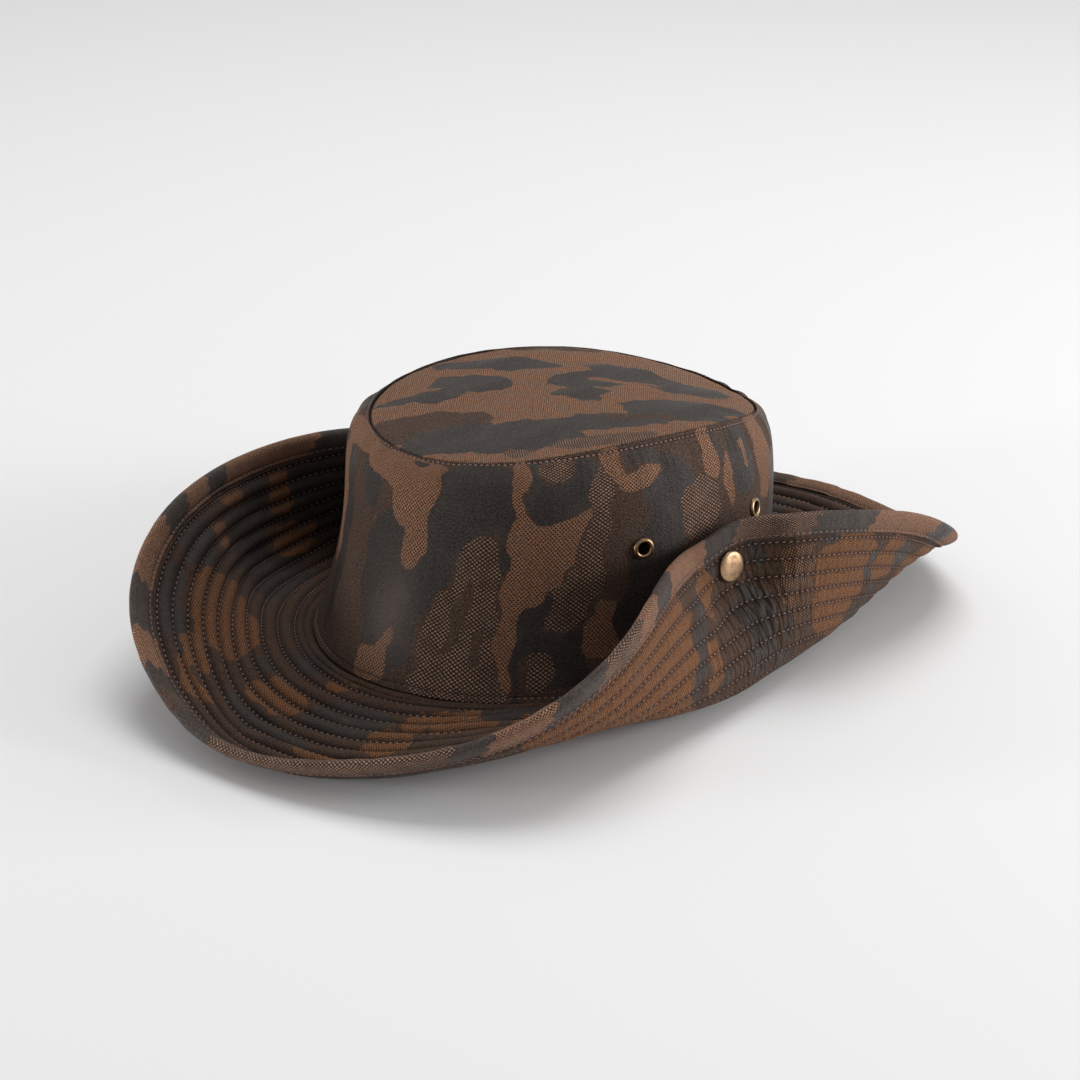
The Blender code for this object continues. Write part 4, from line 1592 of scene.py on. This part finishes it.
    def build_stitches(self, wardrobe: Wardrobe) -> None:
        """Topstitching under the top's seam and above the brim.

        Args:
            wardrobe: the materials.
        """
        angles = ring_angles(1400)
        top_level = FORM.seam_level - self.stitch_drop / FORM.crown_height
        base_level = self.base_stitch / FORM.crown_height
        for name, level, thread in (
            ("crown_stitches_top", top_level, Thread(1.5 * MM, 2.2 * MM, 0.6 * MM, 0.5 * MM)),
            ("crown_stitches_base", base_level, Thread(1.6 * MM, 2.6 * MM, 0.55 * MM, 0.4 * MM)),
        ):
            levels = np.array([level - 0.01, level, level + 0.01])
            rows = FORM.wall(levels, angles)
            normal = outward_normals(rows)[1]
            line = rows[1] + normal * ((self.waves(levels[1:2], angles)[0] * 0.7) - 0.0002)[:, None]
            settle(thread.build(name, [thread.along(line, normal)], wardrobe.thread), Slot.CAMO)

    def top_rows(self, shares: Array, angles: Array, middle: Array) -> Array:
        """Outer face of the top: drawn in at its edge, with soft ridges, puckers and a turned rim.

        Args:
            shares: places from the middle at 0 to the seam at 1.
            angles: places round the hat.
            middle: the top's middle.

        Returns:
            Points, a ring for each share.
        """
        near = np.cos(angles - math.radians(45))
        inset = (0.45 + 0.3 * smooth_step((0.45 - near) / 0.6)) * MM
        rows = FORM.top(shares, angles)
        column = shares[:, None]
        reach = column * (1 - smooth_step((column - 0.9) / 0.1) * inset / FORM.top_half_width)
        rows[..., :2] = middle + (FORM.seam(angles)[:, :2] - middle) * reach[..., None]
        x, y = np.moveaxis(rows[..., :2] - middle, -1, 0) / MM
        ridge = 0.5 * np.sin(0.13 * x + 0.03 * y + 1) + 0.35 * np.sin(0.22 * x - 0.05 * y)
        ridge = ridge + 0.2 * np.sin(0.4 * x + 0.08 * y)
        calm = 1 - smooth_step((column - 0.8) / 0.2)
        pull = 0.25 * np.sin(31 * angles + 2) * bell(column, 0.93, 0.06)
        rows[..., 2] += (ridge * (0.25 + 0.75 * calm) * smooth_step(column / 0.1) + pull) * MM
        rows[..., 2] -= np.clip((column - 0.985) / 0.015, 0, 1) ** 2 * 0.0009
        rows[..., 2] -= 0.0001
        return rows

    def build_top(self, wardrobe: Wardrobe) -> None:
        """Domed top whose edge turns down into the seam, as a closed skin.

        Args:
            wardrobe: the materials.
        """
        angles = ring_angles(420)
        shares = np.concatenate([np.linspace(0.012, 0.97, 78), np.linspace(0.975, 1.0, 8)])
        middle = np.array([FORM.crown_x, FORM.crown_y + FORM.top_shift_back])
        rows = self.top_rows(shares, angles, middle)
        inside = rows[::-4].copy()
        inside[..., 2] -= self.cloth
        inside[0, :, :2] = rows[-1, :, :2] * 0.998 + middle * 0.002
        points = np.concatenate([rows, inside])
        cloth = (points[..., :2] - middle) / MM
        x, y = np.moveaxis(cloth, -1, 0)
        along = x * math.cos(STREAK_TURN) + y * math.sin(STREAK_TURN)
        across = y * math.cos(STREAK_TURN) - x * math.sin(STREAK_TURN)
        masks = TOP_PRINT.paint(TOP_PATCHES, along, across)
        both = np.concatenate([shares, shares[::-4]])[:, None]
        outer = np.arange(len(both))[:, None] < len(shares)
        # Painted shade where the top's edge turns down into the seam
        masks["painted_shade"] = np.where(outer, 0.8 * bell(both, 1.0, 0.006), 0.0)
        masks["painted_sheen"] = 0.0
        masks["pucker"] = 0.04 + 0.12 * bell(both, 0.96, 0.05)
        skin = Skin(points, np.concatenate([cloth, cloth[:, :1]], 1), masks, poles=True)
        top = skin.build("crown_top_cloth", wardrobe.top)
        add_seam_place(top, cloth)
        settle(top, Slot.CAMO, "crown_top")


# Corners of a turned profile: radius and height in millimetres, and how worn it is
Profile = Sequence[tuple[float, float, float]] | Array


@dataclass(frozen=True)
class Turned:
    """Turned brass piece from a profile, closed on itself as a ring or on its axis."""

    name: str
    profile: Profile
    ring: bool
    sides: int

    def build(self, place: Matrix, wardrobe: Wardrobe, node: str) -> None:
        """Turns the profile round the Z axis of its place.

        Args:
            place: where the piece lies.
            wardrobe: the materials.
            node: the node it stands for.
        """
        turn = np.arange(self.sides) * 2 * math.pi / self.sides
        radius, height, worn = (column[:, None] for column in np.array(self.profile, float).T)
        radius, height = radius * MM, height * MM
        points = np.stack([radius * np.cos(turn), radius * np.sin(turn), height + 0 * turn], -1)
        matrix = np.array(place)
        points = points @ matrix[:3, :3].T + matrix[:3, 3]
        uv = np.zeros((len(radius), self.sides + 1, 2))
        piece = Skin(points, uv, {"worn": worn}, poles=not self.ring).build(self.name, wardrobe.brass)
        settle(piece, Slot.BRASS, node)


def rounded(points: Profile, steps: int = 4) -> Array:
    """Softens a profile's corners: short steps, each then averaged with its neighbours twice.

    Args:
        points: the profile.
        steps: steps in each stretch.

    Returns:
        The finer profile.
    """
    table = np.array(points, float)
    stretches = [np.linspace(a, b, steps, endpoint=False) for a, b in zip(table, table[1:])]
    fine = np.concatenate([*stretches, table[-1:]])
    for _ in range(2):
        fine[1:-1] = (fine[:-2] + 2 * fine[1:-1] + fine[2:]) / 4
    return fine


@dataclass(frozen=True)
class Brass:
    """Eyelets of the vents, and the snaps' caps, sockets and studs.

    Field: how far the brim's faces lie from the snap's middle, in millimetres.
    """

    face: float = 1.6

    def build_eyelets(self, wardrobe: Wardrobe) -> None:
        """Rolled rings that hold the cloth from both sides.

        Args:
            wardrobe: the materials.
        """
        ring = (
            (2.45, 0.35, 0.0), (2.55, 0.85, 0.4), (2.85, 1.15, 0.9), (3.3, 1.2, 0.6), (3.8, 1.0, 0.2),
            (4.15, 0.6, 0.1), (4.2, 0.15, 0.0), (4.0, -0.1, 0.0), (2.8, -0.1, 0.0), (2.75, -1.5, 0.0),
            (3.9, -1.7, 0.3), (4.0, -2.0, 0.3), (2.5, -2.1, 0.2), (2.42, -1.0, 0.0),
        )
        for side, side_name in ((1, "left"), (-1, "right")):
            for vent in VENTS:
                name = f"eyelet_{side_name}_{vent.end}"
                place = wall_place(vent.level, side * vent.angle)
                Turned(name + "_brass", ring, True, 48).build(place, wardrobe, name)

    def build_snaps(self, wardrobe: Wardrobe) -> None:
        """Cap on the brim's outer face, socket behind it, and stud in the crown's wall.

        Args:
            wardrobe: the materials.
        """
        face, wall = self.face, -FORM.snap_depth / MM
        cap = (
            (0.05, face + 1.85, 0.1), (2.5, face + 1.8, 0.0), (4.6, face + 1.55, 0.1), (5.7, face + 1.2, 0.5),
            (6.2, face + 0.75, 0.9), (6.25, face + 0.35, 0.4), (6.0, face - 0.1, 0.0),
            (1.7, face - 0.1, 0.0), (1.7, -face - 1.3, 0.0), (0.05, -face - 1.3, 0.0),
        )
        socket = (
            (5.75, -face, 0.2), (5.75, -face - 2.4, 0.3), (5.2, -face - 2.9, 0.4), (3.3, -face - 2.9, 0.2),
            (3.3, -face - 1.5, 0.0), (2.0, -face - 1.5, 0.0), (2.0, -face, 0.0),
        )
        stud = (
            (0.05, -face - 1.8, 0.2), (2.6, -face - 1.8, 0.2), (2.9, -face - 2.3, 0.2),
            (2.6, -face - 3.2, 0.0), (5.2, -face - 3.3, 0.2), (5.2, wall + 0.35, 0.0),
            (1.7, wall + 0.35, 0.0), (1.7, wall - 1.9, 0.0), (4.4, wall - 1.9, 0.2),
            (4.4, wall - 2.6, 0.3), (0.05, wall - 2.6, 0.3),
        )
        for side, side_name in ((1, "left"), (-1, "right")):
            middle, normal = FORM.snap(side)
            turn = Vector(normal).to_track_quat("Z", "Y").to_matrix().to_4x4()
            place = Matrix.Translation(Vector(middle)) @ turn
            for part, profile, ring, sides in (
                ("cap", rounded(cap), False, 72), ("socket", socket, True, 40), ("stud", stud, False, 40),
            ):
                name = f"snap_{part}_{side_name}"
                Turned(name + "_brass", profile, ring, sides).build(place, wardrobe, name)


@dataclass(frozen=True)
class Sweatband:
    """Gathered band inside the crown's base.

    Fields: how far it hangs, how far it lies inside the wall, its cloth's thickness, and how deep its
    gathers are.
    """

    hang: float = 0.0042
    clearance: float = 0.0027
    cloth: float = 0.0012
    gather: float = 0.0002

    def build(self, wardrobe: Wardrobe) -> None:
        """Closed skin of the band, whose gathers are two sines round it that fade upwards.

        Args:
            wardrobe: the materials.
        """
        angles = ring_angles(640)
        rows = FORM.wall(np.linspace(0.05, 0.36, 14), angles)
        rows = rows - outward_normals(rows) * self.clearance
        half_width = FORM.base_half_width - self.clearance
        half_length = FORM.base_half_length - self.clearance
        height = FORM.base_height(angles)
        skirt = []
        for share in (1.0, 0.75, 0.5, 0.25, 0.0):
            z = np.maximum(height - self.hang * share, 0.0006 + 0.0004 * (1 - share))
            skirt.append(FORM.oval(half_width, half_length, 0, z, angles))
        rows = np.concatenate([np.array(skirt), rows])
        lift = np.linspace(0, 1, len(rows))[:, None]
        gather = (np.sin(150 * angles) + 0.5 * np.sin(97 * angles + 1)) * (1 - 0.8 * lift) * self.gather
        out = unit(rows - rows.mean(1, keepdims=True)) * [1, 1, 0]
        rows = rows + out * gather[..., None]
        points = np.concatenate([rows, (rows - out * self.cloth)[::-1]])
        uv = np.zeros((len(points), len(angles) + 1, 2))
        band = Skin(points, uv, {}).build("sweatband_cloth_band", wardrobe.sweatband)
        settle(band, Slot.SWEATBAND, "sweatband")


# Stage


@dataclass(frozen=True)
class Lamp:
    """Soft square light that points at the hat."""

    name: str
    place: tuple[float, float, float]
    size: float
    power: float

    def add(self) -> None:
        """Adds the light."""
        data = bpy.data.lights.new(self.name, "AREA")
        data.shape = "SQUARE"
        data.size = self.size
        data.energy = self.power
        obj = bpy.data.objects.new(self.name, data)
        obj.location = self.place
        aim = Vector((0, 0, 0.05)) - Vector(self.place)
        obj.rotation_euler = aim.to_track_quat("-Z", "Y").to_euler()
        bpy.context.scene.collection.objects.link(obj)


@dataclass(frozen=True)
class Studio:
    """Pale floor, soft lights, white air and the camera, whose turn is in degrees."""

    lamps: tuple[Lamp, ...] = (
        Lamp("key_above", (-0.35, 0.60, 2.1), 1.4, 26.0),
        Lamp("box_right", (1.06, 1.06, 0.36), 0.6, 16.0),
        Lamp("box_front", (-0.66, -1.38, 0.20), 0.36, 9.5),
    )
    floor_colour: Colour = (0.87, 0.87, 0.87)
    air_strength: float = 0.38
    camera_place: tuple[float, float, float] = (0.75488, -0.70109, 0.46447)
    camera_turn: tuple[float, float, float] = (67.5103, -0.72536, 47.81836)
    lens: float = 93.196

    def build(self) -> None:
        """Adds everything."""
        bpy.ops.mesh.primitive_plane_add(size=12, location=(0, 0, -0.0002))
        floor = bpy.context.object
        floor.name = "studio_floor"
        paint, graph, shader = new_material("studio_floor_paint")
        graph.feed(shader, {"Base Color": self.floor_colour, "Roughness": 0.9, "Specular IOR Level": 0.1})
        floor.data.materials.append(paint)
        for lamp in self.lamps:
            lamp.add()
        world = bpy.data.worlds.new("studio_air")
        world.use_nodes = True
        air = {"Color": (1.0, 1.0, 1.0), "Strength": self.air_strength}
        Graph(world.node_tree).feed(world.node_tree.nodes["Background"], air)
        scene = bpy.context.scene
        scene.world = world
        scene.view_settings.view_transform = "Standard"
        camera = bpy.data.cameras.new("camera")
        camera.lens = self.lens
        camera.sensor_width = 36.0
        camera.clip_start = 0.01
        holder = bpy.data.objects.new("camera", camera)
        holder.location = self.camera_place
        holder.rotation_euler = Euler([math.radians(a) for a in self.camera_turn], "XYZ")
        scene.collection.objects.link(holder)
        scene.camera = holder


def main() -> None:
    """Builds the hat and the studio."""
    for obj in list(bpy.data.objects):
        if obj.type in ("CAMERA", "LIGHT") or obj.name == "Cube":
            bpy.data.objects.remove(obj, do_unlink=True)
    wardrobe = Wardrobe()
    brim = Brim()
    brim.build_cloth(wardrobe)
    brim.build_stitches(wardrobe)
    brim.build_binding(wardrobe)
    crown = Crown()
    crown.build_wall(wardrobe)
    crown.build_top(wardrobe)
    Sweatband().build(wardrobe)
    brass = Brass()
    brass.build_eyelets(wardrobe)
    brass.build_snaps(wardrobe)
    Studio().build()


if __name__ == "__main__":
    main()
